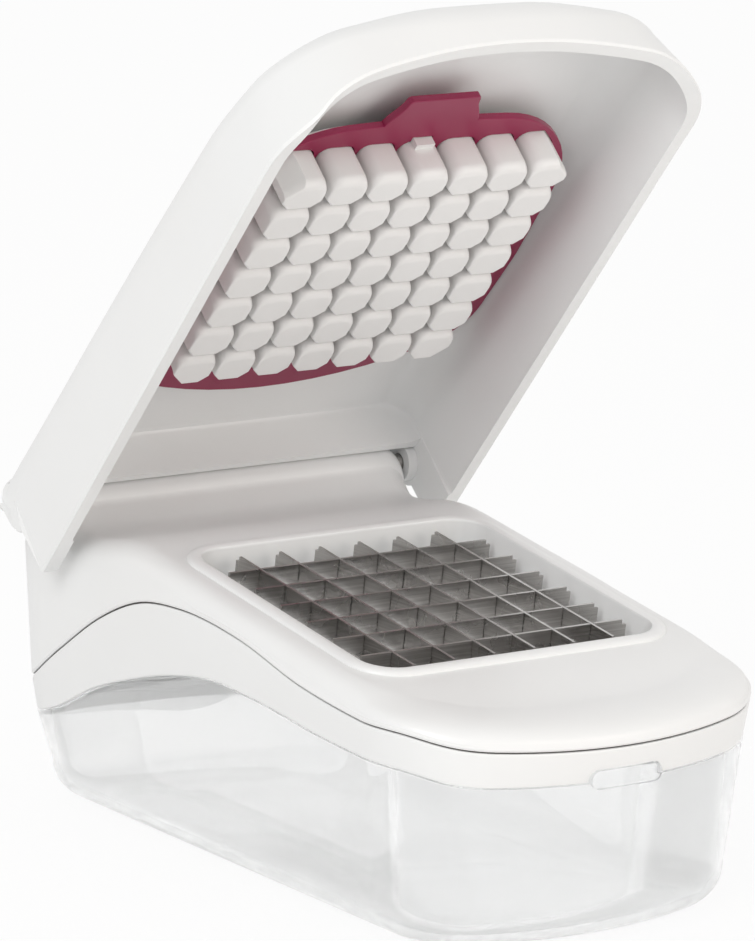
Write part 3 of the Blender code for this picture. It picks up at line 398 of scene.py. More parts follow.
def deck_top(y):
    """Height of the deck's upper surface: plateau, falling nose, valley, hinge barrel and rear shelf."""
    y = np.asarray(y, float)
    nose_drop = NOSE_FALL * smooth_step(-y, -NOSE_FROM_Y + 6, -NOSE_TO_Y)
    plateau = deck_plane(y) + PLATEAU_RISE - nose_drop
    front_of_barrel = HINGE_Y - BARREL_RADIUS
    valley_points = ((30.0, float(deck_plane(30.0)) + PLATEAU_RISE), (38.0, float(deck_plane(38.0)) + 0.3),
                     *REAR_PROFILE, (front_of_barrel, HINGE_Z))
    valley = smooth_curve(valley_points, y)
    across = np.clip((y - HINGE_Y) / BARREL_RADIUS, -1, 1)
    barrel = HINGE_Z + BARREL_RADIUS * np.sqrt(1 - across**2)
    back_wall = HINGE_Z + (SHELF_Z - HINGE_Z) * smooth_step(y, HINGE_Y + BARREL_RADIUS, SHELF_Y)
    shelf = SHELF_Z + (SHELF_END_Z - SHELF_Z) * smooth_step(y, SHELF_Y, BACK_Y)
    height = np.where(y < 30.0, plateau, valley)
    height = np.where(y > front_of_barrel, barrel, height)
    height = np.where(y > HINGE_Y + BARREL_RADIUS, back_wall, height)
    return np.where(y > SHELF_Y, shelf, height)


def plan_outline(places):
    """Plan of the body, which tub, collar, deck and the dark ring of painted shade in the seam share."""
    corners, bows = (FRONT_CORNER, BACK_CORNER), (FRONT_BOW, BACK_BOW)
    return Outline(HALF_WIDTH, FRONT_Y, BACK_Y, corners, bows, places, BODY_STEPS)


def hollow_top(y):
    """Ceiling under the deck: one wall below its surface, and straight under the solid hinge barrel."""
    y = np.asarray(y, float)
    behind = np.interp(y, (VALLEY_Y, SHELF_Y, BACK_Y), (float(deck_top(VALLEY_Y)), SHELF_Z, SHELF_END_Z))
    return np.where(y > VALLEY_Y, behind, deck_top(y)) - DECK_WALL


def deck_rings(outline, extra_inset, top_of, skirt, steps):
    """Stack of rings from the seam up over the shoulder to the plateau."""
    edge = outline.points()
    nose = smooth_step(-edge[:, 1], -NOSE_FROM_Y, -NOSE_TO_Y)
    spread = SIDE_ROUND + (NOSE_ROUND - SIDE_ROUND) * nose + extra_inset
    top = top_of(outline.points(spread)[:, 1])
    foot = smooth_curve(SEAM, edge[:, 1]) + SEAM_GAP / 2
    shoulder = np.maximum(top - SHOULDER_DROP, foot + 1.2)
    flare = REAR_FLARE * np.clip(outline.rows[:, 4], 0, 1)
    first = 0.9 + extra_inset - flare
    rings = [ring(outline, 0.5 + extra_inset, foot - skirt), ring(outline, 0.1 + extra_inset, foot + 0.5)]
    for step in range(steps + 1):
        angle = math.pi / 2 * step / steps
        inset = first + (spread - first) * (1 - math.cos(angle))
        rings.append(ring(outline, inset, shoulder + (top - shoulder) * math.sin(angle)))
    return rings


def opening_ring(grow, level):
    """Rounded-square ring in the deck plane's frame, right half only."""
    half = CELLS * PITCH / 2 + OPENING_MARGIN
    middle = (BLADE_COUNT - 1) * PITCH / 2
    outline = Outline(half + grow, middle - half - grow, middle + half + grow,
                      (OPENING_CORNER + grow, OPENING_CORNER + grow), (OPENING_BOW, OPENING_BOW),
                      (middle,), SMALL_STEPS)
    return ring(outline, 0.0, level)


def sleeve_rings():
    """Wall of the opening with its raised, rounded lip."""
    rings = [opening_ring(LIP_WIDTH, -SLEEVE_DEPTH), opening_ring(LIP_WIDTH, PLATEAU_RISE)]
    for step in range(1, LIP_STEPS + 1):
        angle = math.pi / 2 * step / LIP_STEPS
        pull = LIP_WIDTH * 0.55 * (1 - math.cos(angle))
        rise = (LIP_TOP - PLATEAU_RISE) * math.sin(angle)
        rings.append(opening_ring(LIP_WIDTH - pull, PLATEAU_RISE + rise))
    rings.append(opening_ring(LIP_ROUND, LIP_TOP))
    rings.append(opening_ring(LIP_ROUND * 0.3, LIP_TOP - LIP_ROUND * 0.3))
    rings.append(opening_ring(0.0, LIP_TOP - LIP_ROUND))
    rings.append(opening_ring(0.0, -SLEEVE_DEPTH))
    return rings


def lid_outline():
    corners, bows = (LID_CORNER, LID_TAIL_CORNER), (LID_BOW, LID_BOW)
    return Outline(LID_HALF_WIDTH, -LID_NOSE, -LID_TAIL, corners, bows, lid_stations(), LID_STEPS)


def lid_top(y):
    return smooth_curve(LID_TOP_LINE, -np.asarray(y, float))


def lid_rim_level(points):
    """Height of the lid's rim: a slope on the sides, an arch across the nose and the ear by the hinge."""
    x, reach = points[:, 0], -points[:, 1]
    (far, far_level), (near, near_level) = LID_RIM_LINE
    line = near_level + (reach - near) * (far_level - near_level) / (far - near)
    arch = smooth_curve(LID_NOSE_ARCH, np.abs(x))
    nose = smooth_step(reach, far, LID_NOSE - 16)
    level = line * (1 - nose) + arch * nose
    ear = -np.sqrt(np.clip(EAR_RADIUS**2 - np.clip(-reach, 0, EAR_RADIUS) ** 2, 0, None))
    level = np.where(reach < EAR_BACK - 0.1, ear, level)
    return np.where(reach < -EAR_RADIUS - 0.1, LID_TAIL_UNDERSIDE - 0.5, level)


def corner_share(outline):
    """1 in the middle of a nose corner, falling softly to 0 along the side and along the nose."""
    points = outline.points()
    along = np.r_[0.0, np.cumsum(np.hypot(*np.diff(points, axis=0).T))]
    middle = along[np.argmin(np.abs(outline.rows[:, 3] + outline.rows[:, 4]))]
    return smooth_step(1 - np.abs(along - middle) / LID_CORNER_SWEEP, 0.0, 1.0)


def lid_rings(outline):
    """Outside of the lid, from inside its rim round the edge and over the shoulder to the top."""
    rim = lid_rim_level(outline.points(0.4))
    inner = LID_RIM_WIDTH + 0.5
    top = lid_top(outline.points()[:, 1])
    shoulder = np.maximum(top - LID_SHOULDER, rim + 1.2)
    rings = [ring(outline, inner, lid_rim_level(outline.points(inner, 0.5)), 0.5),
             ring(outline, 0.4, rim, 0.2),
             ring(outline, 0.0, np.minimum(rim + 0.8, shoulder - 0.4), 0.0)]
    corner = corner_share(outline)
    lean = LID_SIDE_LEAN * (1 - np.clip(-outline.rows[:, 4], 0, 1) ** 2) + LID_CORNER_LEAN * corner
    width = LID_SHOULDER + LID_CORNER_EXTRA * corner
    steps = SHOULDER_STEPS
    for step in range(steps + 1):
        angle = math.pi / 2 * step / steps
        turn = 1 - math.cos(angle)
        level = shoulder + (top - shoulder) * math.sin(angle)
        rings.append(ring(outline, lean + width * turn, level, LID_TAIL_ROUND * turn))
    return rings


def lid_cavity_rings():
    """Inner surface of the lid as a solid to cut away, from below the rim up to the ceiling."""
    places = [y for y in lid_stations() if y < -LID_CAVITY_END - 8]
    back = -LID_CAVITY_END + LID_RIM_WIDTH
    corners, bows = (LID_CORNER, LID_CAVITY_CORNER), (LID_BOW, LID_CAVITY_BOW)
    outline = Outline(LID_HALF_WIDTH, -LID_NOSE, back, corners, bows, places, LID_STEPS)
    rim = lid_rim_level(outline.points(LID_RIM_WIDTH))
    rim = np.minimum(rim, LID_LIP_HEIGHT)
    ceiling = lid_top(outline.points()[:, 1]) - LID_WALL
    inner_round = LID_SHOULDER - LID_WALL
    corner = corner_share(outline)
    draft = 0.6 + LID_CORNER_LEAN * corner / 2
    width = inner_round + LID_CORNER_EXTRA * corner
    rings = [ring(outline, LID_RIM_WIDTH, -CUTTER_DEPTH, LID_RIM_WIDTH),
             ring(outline, LID_RIM_WIDTH, rim + 1.5, LID_RIM_WIDTH)]
    steps = SHOULDER_STEPS
    for step in range(steps + 1):
        angle = math.pi / 2 * step / steps
        turn = 1 - math.cos(angle)
        level = ceiling - inner_round * (1 - math.sin(angle))
        rings.append(ring(outline, LID_RIM_WIDTH + draft + width * turn, level, LID_RIM_WIDTH + 1.8 * turn))
    return rings


def hinge_pocket_outline():
    """Room for the hinge barrel, between the cavity's back wall and the tail's end wall."""
    back_wall = -LID_CAVITY_END + LID_LIP_THICK
    ceiling = float(lid_top(0.0)) - LID_WALL - 0.6
    end_wall = -LID_TAIL - LID_WALL
    front = -LID_CAVITY_END - 3.5
    behind = -LID_TAIL + 4.0
    return [(front, -CUTTER_DEPTH), (front, LID_LIP_HEIGHT), (back_wall, LID_LIP_HEIGHT),
            (back_wall, ceiling - 2.0), (back_wall + 2.0, ceiling),
            (end_wall - 2.0, ceiling), (end_wall, ceiling - 2.0),
            (end_wall, LID_TAIL_UNDERSIDE), (behind, LID_TAIL_UNDERSIDE), (behind, -CUTTER_DEPTH)]


def pill_outline(grow):
    """Stadium outline of the catch on the tub's front, as (x, z) pairs."""
    radius = CATCH_HEIGHT / 2 + grow
    centre = CATCH_HALF_WIDTH - CATCH_HEIGHT / 2
    points = []
    for side in (1, -1):
        for step in range(PILL_STEPS + 1):
            angle = side * math.pi / 2 - math.pi * step / PILL_STEPS
            points.append((side * centre + radius * math.cos(angle), CATCH_Z + radius * math.sin(angle)))
    return points


def tapered(points):
    """Draws the grid's outline in towards the nose."""
    points[:, 0] *= 1 - GRID_TAPER * np.clip(-points[:, 1] - GRID_TAPER_FROM, 0, None)
    return points


def nub_box(grow, low, high):
    """Box of the small catch in front of the middle finger of the nose row."""
    front = FIRST_ROW_REACH + FINGER_SIZE / 2 + NOSE_ROW_EXTRA
    half = NUB_HALF_WIDTH + grow
    proud, root = -front - NUB_PROUD - grow, 1.0 - front
    section = [(-half, proud), (half, proud), (half, root), (-half, root)]
    return extruded("nub", section, "z", low, high)


def finger_centre(row, column):
    return (column - (CELLS - 1) / 2) * PITCH, -(FIRST_ROW_REACH - row * PITCH)


def finger_places():
    return [(row, column) for row in range(CELLS) for column in range(CELLS)]


def screw_places():
    """(x, y) of each pusher screw in the lid's frame."""
    return [(side * SCREW_X, -reach) for side in (-1, 1) for reach in SCREW_REACH]


def cylinders(name, radius, steps, places, low, high):
    return joined(name, [extruded(name, circle(radius, steps, place), "z", low, high) for place in places])


def stations(start, end, bends=()):
    """Side stations at an even spacing, with more where the shape bends."""
    return sorted([*np.arange(start, end, STATION_GAP), *bends])


def body_stations():
    turns = [math.pi * i / BARREL_STEPS for i in range(BARREL_STEPS + 1)]
    barrel = [HINGE_Y - BARREL_RADIUS * math.cos(turn) for turn in turns]
    return stations(BODY_START, HINGE_Y - BARREL_RADIUS - 0.5, barrel)


def wave_stations():
    return stations(BODY_START, WAVE_END)


def lid_stations():
    near_hinge = [*EAR_STATIONS, -EAR_BACK, 0.5 - EAR_BACK, EAR_RADIUS, EAR_RADIUS + 0.3]
    return stations(*LID_STATIONS, near_hinge)


def add_boolean(target, tool, operation):
    modifier = target.modifiers.new(operation, "BOOLEAN")
    modifier.operation = operation
    modifier.solver = "EXACT"
    modifier.object = tool


def shaped(mesh, *steps):
    """Mesh after solids are cut away from it or added to it. Each step is (operation, mesh)."""
    target = bpy.data.objects.new("target", mesh)
    tools = []
    bpy.context.scene.collection.objects.link(target)
    for operation, tool_mesh in steps:
        tool = bpy.data.objects.new("tool", tool_mesh)
        bpy.context.scene.collection.objects.link(tool)
        add_boolean(target, tool, operation)
        tools.append(tool)
    graph = bpy.context.evaluated_depsgraph_get()
    result = bpy.data.meshes.new_from_object(target.evaluated_get(graph))
    for obj in [target, *tools]:
        bpy.data.objects.remove(obj, do_unlink=True)
    builder = bmesh.new()
    builder.from_mesh(result)
    bmesh.ops.remove_doubles(builder, verts=builder.verts, dist=WELD)
    builder.to_mesh(result)
    builder.free()
    return result


def turned_to(mesh, matrix):
    mesh.transform(matrix)
    return mesh


def piece(name, mesh, body, node, material, sharp=SHARP_ANGLE):
    """Fine piece that stands for a node: smooth inside its sharp edges."""
    mesh.materials.clear()
    mesh.materials.append(material)
    for polygon in mesh.polygons:
        polygon.use_smooth = True
    mesh.set_sharp_from_angle(angle=sharp)
    obj = bpy.data.objects.new(name, mesh)
    bpy.context.scene.collection.objects.link(obj)
    normals = obj.modifiers.new("even_normals", "WEIGHTED_NORMAL")
    normals.keep_sharp = True
    normals.weight = NORMAL_WEIGHT
    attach(obj, body)
    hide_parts(node)
    return obj


def tub_mesh():
    outline = plan_outline(wave_stations())
    edge_y = outline.points()[:, 1]
    flush = smooth_curve(COLLAR_FOOT, edge_y) - FIT_GAP
    reference = float(smooth_curve(COLLAR_FOOT, FRONT_Y))
    foot_inset = TUB_FLUSH_INSET + (reference - TUB_FOOT_ROUND) * TUB_DRAFT
    upper_inset = TUB_FLUSH_INSET + COLLAR_WALL + FIT_GAP
    rings = []
    for step in range(SHOULDER_STEPS + 1):
        angle = math.pi / 2 * step / SHOULDER_STEPS
        inset = foot_inset + TUB_FOOT_ROUND * (1 - math.sin(angle))
        rings.append(ring(outline, inset, TUB_FOOT_ROUND * (1 - math.cos(angle))))
    rings += [ring(outline, TUB_FLUSH_INSET, flush), ring(outline, upper_inset, flush + 0.05),
              ring(outline, upper_inset, flush + TUB_RIM_ABOVE),
              ring(outline, upper_inset + TUB_WALL, flush + TUB_RIM_ABOVE),
              ring(outline, upper_inset + TUB_WALL, flush - 2.0)]
    inner_round = TUB_FOOT_ROUND - TUB_WALL
    for step in range(SHOULDER_STEPS + 1):
        angle = math.pi / 2 * (1 - step / SHOULDER_STEPS)
        inset = foot_inset + TUB_WALL + inner_round * (1 - math.sin(angle))
        rings.append(ring(outline, inset, TUB_FLOOR + inner_round * (1 - math.cos(angle))))
    front = FRONT_Y + TUB_FLUSH_INSET - CATCH_PROUD
    catch = extruded("tub_catch", pill_outline(0.0), "y", front, FRONT_Y + upper_inset + TUB_WALL / 2)
    return shaped(mesh_from_rings("tub_fine", rings), ("UNION", catch))


def collar_mesh():
    outline = plan_outline(wave_stations())
    edge_y = outline.points()[:, 1]
    seam = smooth_curve(SEAM, edge_y) - SEAM_GAP / 2 + SEAM_TIGHTER
    foot = smooth_curve(COLLAR_FOOT, edge_y)
    ledge = TUB_FLUSH_INSET + COLLAR_WALL + 1.6
    rings = [
        ring(outline, TUB_FLUSH_INSET + 0.3, foot),
        ring(outline, TUB_FLUSH_INSET, foot + 0.4),
        ring(outline, 0.35, seam - 0.9),
        ring(outline, 0.5, seam - 0.15),
        ring(outline, 0.7, seam),
        ring(outline, ledge, seam),
        ring(outline, ledge, np.minimum(seam - 0.8, foot + TUB_RIM_ABOVE + 0.9)),
        ring(outline, TUB_FLUSH_INSET + COLLAR_WALL, np.minimum(seam - 1.2, foot + TUB_RIM_ABOVE + 0.5)),
        ring(outline, TUB_FLUSH_INSET + COLLAR_WALL, foot),
    ]
    window = extruded("catch_window", pill_outline(CATCH_GAP), "y", FRONT_Y - 5, FRONT_Y + 12)
    return shaped(mesh_from_rings("collar_fine", rings, closed_loop=True), ("DIFFERENCE", window))


# Dark ring set back inside the seam gap: painted shade, standing in for the gap's shadow.
def seam_shade_mesh():
    outline = plan_outline(wave_stations())
    seam = smooth_curve(SEAM, outline.points()[:, 1])
    low, high = seam - SEAM_GAP / 2 + SEAM_TIGHTER + 0.05, seam + SEAM_GAP / 2 - 0.05
    section = ((SEAM_SHADE_INSET - 0.1, low), (SEAM_SHADE_INSET - 0.1, high), (SEAM_SHADE_DEPTH, high), (SEAM_SHADE_DEPTH, low))
    rings = [ring(outline, inset, height) for inset, height in section]
    return mesh_from_rings("seam_shade_ring_fine", rings, closed_loop=True)


def deck_mesh():
    outside = deck_rings(plan_outline(body_stations()), 0.0, deck_top, 0.0, SHOULDER_STEPS)
    under = plan_outline(stations(BODY_START, VALLEY_Y))
    inside = deck_rings(under, DECK_WALL, hollow_top, HOLLOW_SKIRT, SHOULDER_STEPS // 2)
    ends = [opening_ring(OPENING_CUT, -SLEEVE_DEPTH - CUT_PAST), opening_ring(OPENING_CUT, CUT_PAST)]
    opening = turned_to(mesh_from_rings("opening", ends), DECK_FRAME)
    sleeve = turned_to(mesh_from_rings("sleeve", sleeve_rings(), closed_loop=True), DECK_FRAME)
    section = circle(PIN_RADIUS + PIN_CLEARANCE, BORE_STEPS, (HINGE_Y, HINGE_Z))
    inner, outer = PIN_INNER_X - PIN_BORE_END, PIN_OUTER_X + 2
    bores = joined("bores", [extruded("bore", section, "x", side * inner, side * outer) for side in (-1, 1)])
    shell, hollow = mesh_from_rings("deck_fine", outside), mesh_from_rings("hollow", inside)
    return shaped(shell, ("DIFFERENCE", hollow), ("DIFFERENCE", opening), ("UNION", sleeve),
                  ("DIFFERENCE", bores))


def lid_mesh():
    shell = mesh_from_rings("lid_fine", lid_rings(lid_outline()))
    cavity = mesh_from_rings("cavity", lid_cavity_rings())
    pocket = extruded("pocket", hinge_pocket_outline(), "x", -POCKET_HALF_WIDTH, POCKET_HALF_WIDTH)
    hubs = joined("hubs", [extruded("hub", circle(HUB_RADIUS, HUB_STEPS), "x", side * HUB_INNER_X,
                                    side * (LID_HALF_WIDTH - 1.6)) for side in (-1, 1)])
    section = circle(PIN_RADIUS + PIN_CLEARANCE, BORE_STEPS)
    bores = joined("bores", [extruded("bore", section, "x", side * (HUB_INNER_X - PIN_LEAD),
                                      side * (PIN_OUTER_X + FIT_GAP)) for side in (-1, 1)])
    post_foot = PLATE_LEVEL + PLATE_THICK + FIT_GAP
    post_top = float(lid_top(-SCREW_REACH[0])) - LID_WALL / 2
    posts = cylinders("posts", POST_RADIUS, POST_STEPS, screw_places(), post_foot, post_top)
    depth = PLATE_LEVEL + SCREW_LENGTH + SCREW_CLEARANCE
    hole = SCREW_RADIUS + SCREW_CLEARANCE
    pilots = cylinders("pilots", hole, HOLE_STEPS, screw_places(), post_foot - 1, depth)
    mesh = shaped(shell, ("DIFFERENCE", cavity), ("DIFFERENCE", pocket), ("UNION", hubs),
                  ("DIFFERENCE", bores), ("UNION", posts), ("DIFFERENCE", pilots))
    return turned_to(mesh, LID_FRAME)


def corner_arc(centre_x, centre_y, radius, start, steps):
    """Quarter arc of a finger's corner, anticlockwise from an angle. One step makes a flat."""
    angles = [start + math.pi / 2 * i / steps for i in range(steps + 1)]
    return [(centre_x + radius * math.cos(a), centre_y + radius * math.sin(a)) for a in angles]


def finger_outline(row, column, nose=0.0, side=0.0, heel=0.0):
    """Plan of a finger about its centre, drawn in at the nose side (-y), the flanks and the heel."""
    half = FINGER_SIZE / 2
    last = CELLS - 1
    low_x = -half - EDGE_FINGER_EXTRA * (column == 0) + side
    high_x = half + EDGE_FINGER_EXTRA * (column == last) - side
    low_y = -half - NOSE_ROW_EXTRA * (row == 0) + nose
    high_y = half - heel
    points = []
    for right, front, start in ((True, True, -90), (True, False, 0), (False, False, 90), (False, True, 180)):
        outer = column == (last if right else 0) and row == (0 if front else last)
        radius = CORNER_CHAMFER if outer else NOSE_CORNER if front else HEEL_CORNER
        radius = min(radius, 0.49 * (high_x - low_x), 0.49 * (high_y - low_y))
        centre_x = high_x - radius if right else low_x + radius
        centre_y = low_y + radius if front else high_y - radius
        steps = CORNER_POINTS if front and not outer else 1
        points += corner_arc(centre_x, centre_y, radius, math.radians(start), steps)
    return points


def rolled(radius, height):
    """How far a rounded edge has drawn in at a height above the tip."""
    rest = max(radius - height, 0.0)
    return radius - math.sqrt(max(radius**2 - rest**2, 0.0))


def finger_mesh(row, column):
    """One finger, from inside the plate to its tip, whose edges roll over."""
    builder = bmesh.new()
    x, y = finger_centre(row, column)
    heights = [NOSE_ROLL * (1 - math.cos(math.pi / 2 * i / ROLL_STEPS)) for i in range(ROLL_STEPS + 1)]
    heights = sorted({*heights, HEEL_ROLL * 0.4, HEEL_ROLL, SIDE_ROLL}, reverse=True)
    loops = []
    for height in [PLATE_LEVEL + 0.6 - TIP_LEVEL, *heights]:
        draws = [min(rolled(radius, height), radius - 0.05) for radius in (NOSE_ROLL, SIDE_ROLL, HEEL_ROLL)]
        section = finger_outline(row, column, *draws)
        level = (TIP_LEVEL + height) * MM
        loops.append([builder.verts.new(((x + u) * MM, (y + v) * MM, level)) for u, v in section])
    count = len(loops[0])
    for lower, upper in zip(loops, loops[1:]):
        for i in range(count):
            builder.faces.new((lower[i], lower[(i + 1) % count], upper[(i + 1) % count], upper[i]))
    builder.faces.new(loops[0])
    builder.faces.new(loops[-1])
    bmesh.ops.recalc_face_normals(builder, faces=builder.faces)
    mesh = bpy.data.meshes.new("finger")
    builder.to_mesh(mesh)
    builder.free()
    return mesh


def grid_plan(inset, level):
    """Outline of the cleaning grid and of the pusher's plate behind it."""
    corners, bows = (GRID_TOP_CORNER, GRID_LOW_CORNER), (GRID_TOP_BOW, GRID_LOW_BOW)
    places = stations(-GRID_TOP_REACH + GRID_TOP_CORNER + 2, -GRID_LOW_REACH - GRID_LOW_CORNER - 2)
    outline = Outline(GRID_HALF_WIDTH, -GRID_TOP_REACH, -GRID_LOW_REACH, corners, bows, places, GRID_STEPS)
    return tapered(ring(outline, inset, level))


def pusher_mesh():
    """Plate, fingers and the small catch. The fingers stay single solids that stand in the plate."""
    plate = mesh_from_rings("plate", [grid_plan(PLATE_INSET, PLATE_LEVEL),
                                      grid_plan(PLATE_INSET, PLATE_LEVEL + PLATE_THICK)], flat=True)
    hole, recess = SCREW_RADIUS + SCREW_CLEARANCE, SCREW_HEAD_RADIUS + SCREW_CLEARANCE
    holes = cylinders("holes", hole, HOLE_STEPS, screw_places(), 0.0, PLATE_LEVEL + 9)
    seat = PLATE_LEVEL + SCREW_HEAD_HEIGHT + SCREW_CLEARANCE
    seats = cylinders("seats", recess, POST_STEPS, screw_places(), 0.0, seat)
    plate = shaped(plate, ("DIFFERENCE", holes), ("DIFFERENCE", seats))
    fingers = [finger_mesh(row, column) for row, column in finger_places()]
    nub = nub_box(0.0, GRID_LEVEL - NUB_HEIGHT, PLATE_LEVEL + 0.5)
    return turned_to(joined("pusher_fine", [plate, nub, *fingers]), LID_FRAME)


def tab_ring(inset, level):
    """Right half of the pull tab: straight top, tight corner and a soft shoulder down to the grid."""
    top, foot = TAB_REACH - inset, GRID_TOP_REACH - 1.0
    top_half, foot_half = TAB_TOP_HALF - inset, TAB_FOOT_HALF - inset
    corner = [(top_half - TAB_TIGHT + TAB_TIGHT * math.sin(a), -top + TAB_TIGHT - TAB_TIGHT * math.cos(a))
              for a in np.linspace(0.0, math.pi / 2, 6)]
    heights = np.linspace(0.15, 1.0, 8)
    shoulder = [(top_half + (foot_half - top_half) * float(smooth_step(t, 0.1, 1.0)), -top + (top - foot) * t)
                for t in heights]
    points = [(0.0, -top), *corner, *shoulder, (foot_half, -foot + 6.0), (0.0, -foot + 6.0)]
    return np.c_[np.array(points), np.full(len(points), level)]


def cleaning_grid_mesh():
    top = GRID_LEVEL + GRID_THICK
    levels = ((0.5, GRID_LEVEL), (0.15, GRID_LEVEL + 0.15), (0.0, GRID_LEVEL + 0.5), (0.0, top))
    plate = mesh_from_rings("grid_fine", [grid_plan(inset, level) for inset, level in levels], flat=True)
    tab = mesh_from_rings("tab", [tab_ring(inset, level) for inset, level in levels], flat=True)
    holes = []
    for row, column in finger_places():
        x, y = finger_centre(row, column)
        section = [(x + u, y + v) for u, v in finger_outline(row, column, *(-GRID_HOLE_CLEARANCE,) * 3)]
        holes.append(extruded("hole", section, "z", TIP_LEVEL - 1, top + 2))
    notch = nub_box(GRID_HOLE_CLEARANCE, TIP_LEVEL - 1, top + 2)
    mesh = shaped(plate, ("UNION", tab), ("DIFFERENCE", joined("holes", holes)), ("DIFFERENCE", notch))
    return turned_to(mesh, LID_FRAME)


class Shader:
    """A node material being put together."""

    def __init__(self, name):
        self.material = bpy.data.materials.new(name)
        self.material.use_nodes = True
        self.tree = self.material.node_tree
        self.tree.nodes.clear()
        self.output = self.tree.nodes.new("ShaderNodeOutputMaterial")
        self.principled = self.tree.nodes.new("ShaderNodeBsdfPrincipled")
        self.join(self.principled.outputs[0], self.output.inputs[0])
        self.coordinates = self.tree.nodes.new("ShaderNodeTexCoord").outputs["Object"]

    def join(self, source, target):
        self.tree.links.new(source, target)

    def set(self, **values):
        for name, value in values.items():
            self.principled.inputs[name.replace("_", " ")].default_value = value

    def mapped(self, scale, rotation=(0.0, 0.0, 0.0)):
        node = self.tree.nodes.new("ShaderNodeMapping")
        node.inputs["Scale"].default_value = scale
        node.inputs["Rotation"].default_value = rotation
        self.join(self.coordinates, node.inputs["Vector"])
        return node.outputs[0]

    def noise(self, scale, detail=2.0, vector=None, roughness=0.5):
        node = self.tree.nodes.new("ShaderNodeTexNoise")
        node.inputs["Scale"].default_value = scale
        node.inputs["Detail"].default_value = detail
        node.inputs["Roughness"].default_value = roughness
        self.join(vector if vector else self.coordinates, node.inputs["Vector"])
        return node.outputs["Fac"]

    def ramp(self, factor, low, high, start=0.3, end=0.7):
        node = self.tree.nodes.new("ShaderNodeValToRGB")
        node.color_ramp.elements[0].position = start
        node.color_ramp.elements[1].position = end
        node.color_ramp.elements[0].color = low
        node.color_ramp.elements[1].color = high
        self.join(factor, node.inputs[0])
        return node.outputs[0]

    def spread(self, factor, low, high):
        node = self.tree.nodes.new("ShaderNodeMapRange")
        node.inputs["From Min"].default_value = 0.3
        node.inputs["From Max"].default_value = 0.7
        node.inputs["To Min"].default_value = low
        node.inputs["To Max"].default_value = high
        self.join(factor, node.inputs["Value"])
        return node.outputs[0]

    def bump(self, height, strength, distance, below=None):
        node = self.tree.nodes.new("ShaderNodeBump")
        node.inputs["Strength"].default_value = strength
        node.inputs["Distance"].default_value = distance
        self.join(height, node.inputs["Height"])
        if below:
            self.join(below, node.inputs["Normal"])
        return node.outputs[0]

    def feed(self, name, source):
        self.join(source, self.principled.inputs[name])


def grey(level, tint=(1.0, 1.0, 1.0)):
    return tuple(level * c for c in tint) + (1.0,)


# Pairs of tones that each material drifts between.
WHITE_TONES = (grey(0.80, (1.0, 1.005, 1.0)), grey(0.825, (1.0, 1.01, 1.01)))
FINGER_TONES = (grey(0.79, (1.0, 0.99, 0.98)), grey(0.815, (1.0, 0.99, 0.98)))
MAGENTA_TONES = ((0.235, 0.007, 0.050, 1), (0.28, 0.009, 0.063, 1))
STEEL_TONES = (grey(0.36, (1.0, 0.965, 0.93)), grey(0.56, (1.0, 0.975, 0.95)))
# Near-black tones of the ring in the seam: painted shade for the gap's shadow.
SEAM_SHADE_TONES = (grey(0.05, (1.0, 0.86, 0.80)), grey(0.09, (1.0, 0.86, 0.80)))
BRUSHING = {"x": (25.0, 1500.0, 1500.0), "y": (1500.0, 25.0, 1500.0), "round": (500.0, 500.0, 500.0)}


def moulded_plastic(name, tones, rough, grain=0.05):
    """Satin moulded plastic: faint colour drift, a fine moulded grain and slow waves in its reflections."""
    shader = Shader(name)
    drift = shader.noise(14.0, 3.0)
    shader.feed("Base Color", shader.ramp(drift, *tones))
    patches = shader.noise(60.0, 4.0)
    shader.feed("Roughness", shader.spread(patches, rough - 0.035, rough + 0.035))
    wave = shader.bump(shader.noise(22.0, 1.0), 0.12, 0.0006)
    fine = shader.bump(shader.noise(2600.0, 2.0), grain, 0.00006, wave)
    shader.feed("Normal", fine)
    shader.set(Coat_Weight=0.12, Coat_Roughness=0.18, IOR=1.49)
    return shader.material


def clear_plastic(name):
    """Clear moulded plastic with a trace of haze and flow lines."""
    shader = Shader(name)
    haze = shader.noise(38.0, 3.0)
    shader.feed("Roughness", shader.spread(haze, 0.015, 0.05))
    flow = shader.noise(9.0, 2.0, shader.mapped((1.0, 1.0, 3.0)))
    shader.feed("Normal", shader.bump(flow, 0.06, 0.0008))
    shader.set(Base_Color=grey(0.985, (0.995, 1.0, 1.0)), Transmission_Weight=1.0, IOR=1.42, Alpha=0.6)
    return shader.material


def brushed_steel(name, along, rough=0.27):
    """Stainless steel brushed along one axis of the blades' plane."""
    shader = Shader(name)
    vector = shader.mapped(BRUSHING[along], (-DECK_SLOPE, 0.0, 0.0))
    streaks = shader.noise(1.0, 3.0, vector, 0.6)
    clouds = shader.noise(70.0, 3.0)
    shader.feed("Base Color", shader.ramp(streaks, *STEEL_TONES))
    shader.feed("Roughness", shader.spread(clouds, rough - 0.05, rough + 0.07))
    shader.feed("Normal", shader.bump(streaks, 0.10, 0.00003))
    shader.set(Metallic=1.0, Anisotropic=0.45)
    return shader.material


def seam_shade_material(name):
    """Near-black ring in the seam between deck and collar: painted shade for the gap's shadow."""
    shader = Shader(name)
    shader.feed("Base Color", shader.ramp(shader.noise(160.0, 3.0), *SEAM_SHADE_TONES))
    shader.feed("Roughness", shader.spread(shader.noise(500.0), 0.5, 0.65))
    shader.feed("Normal", shader.bump(shader.noise(1800.0), 0.1, 0.00005))
    return shader.material


def seen_directly(tree):
    """1 for camera, glossy and transmitted rays, which see the plain white of the studio."""
    rays = tree.nodes.new("ShaderNodeLightPath")
    total = rays.outputs["Is Camera Ray"]
    for name in ("Is Glossy Ray", "Is Transmission Ray"):
        both = tree.nodes.new("ShaderNodeMath")
        both.operation = "MAXIMUM"
        tree.links.new(total, both.inputs[0])
        tree.links.new(rays.outputs[name], both.inputs[1])
        total = both.outputs[0]
    return total


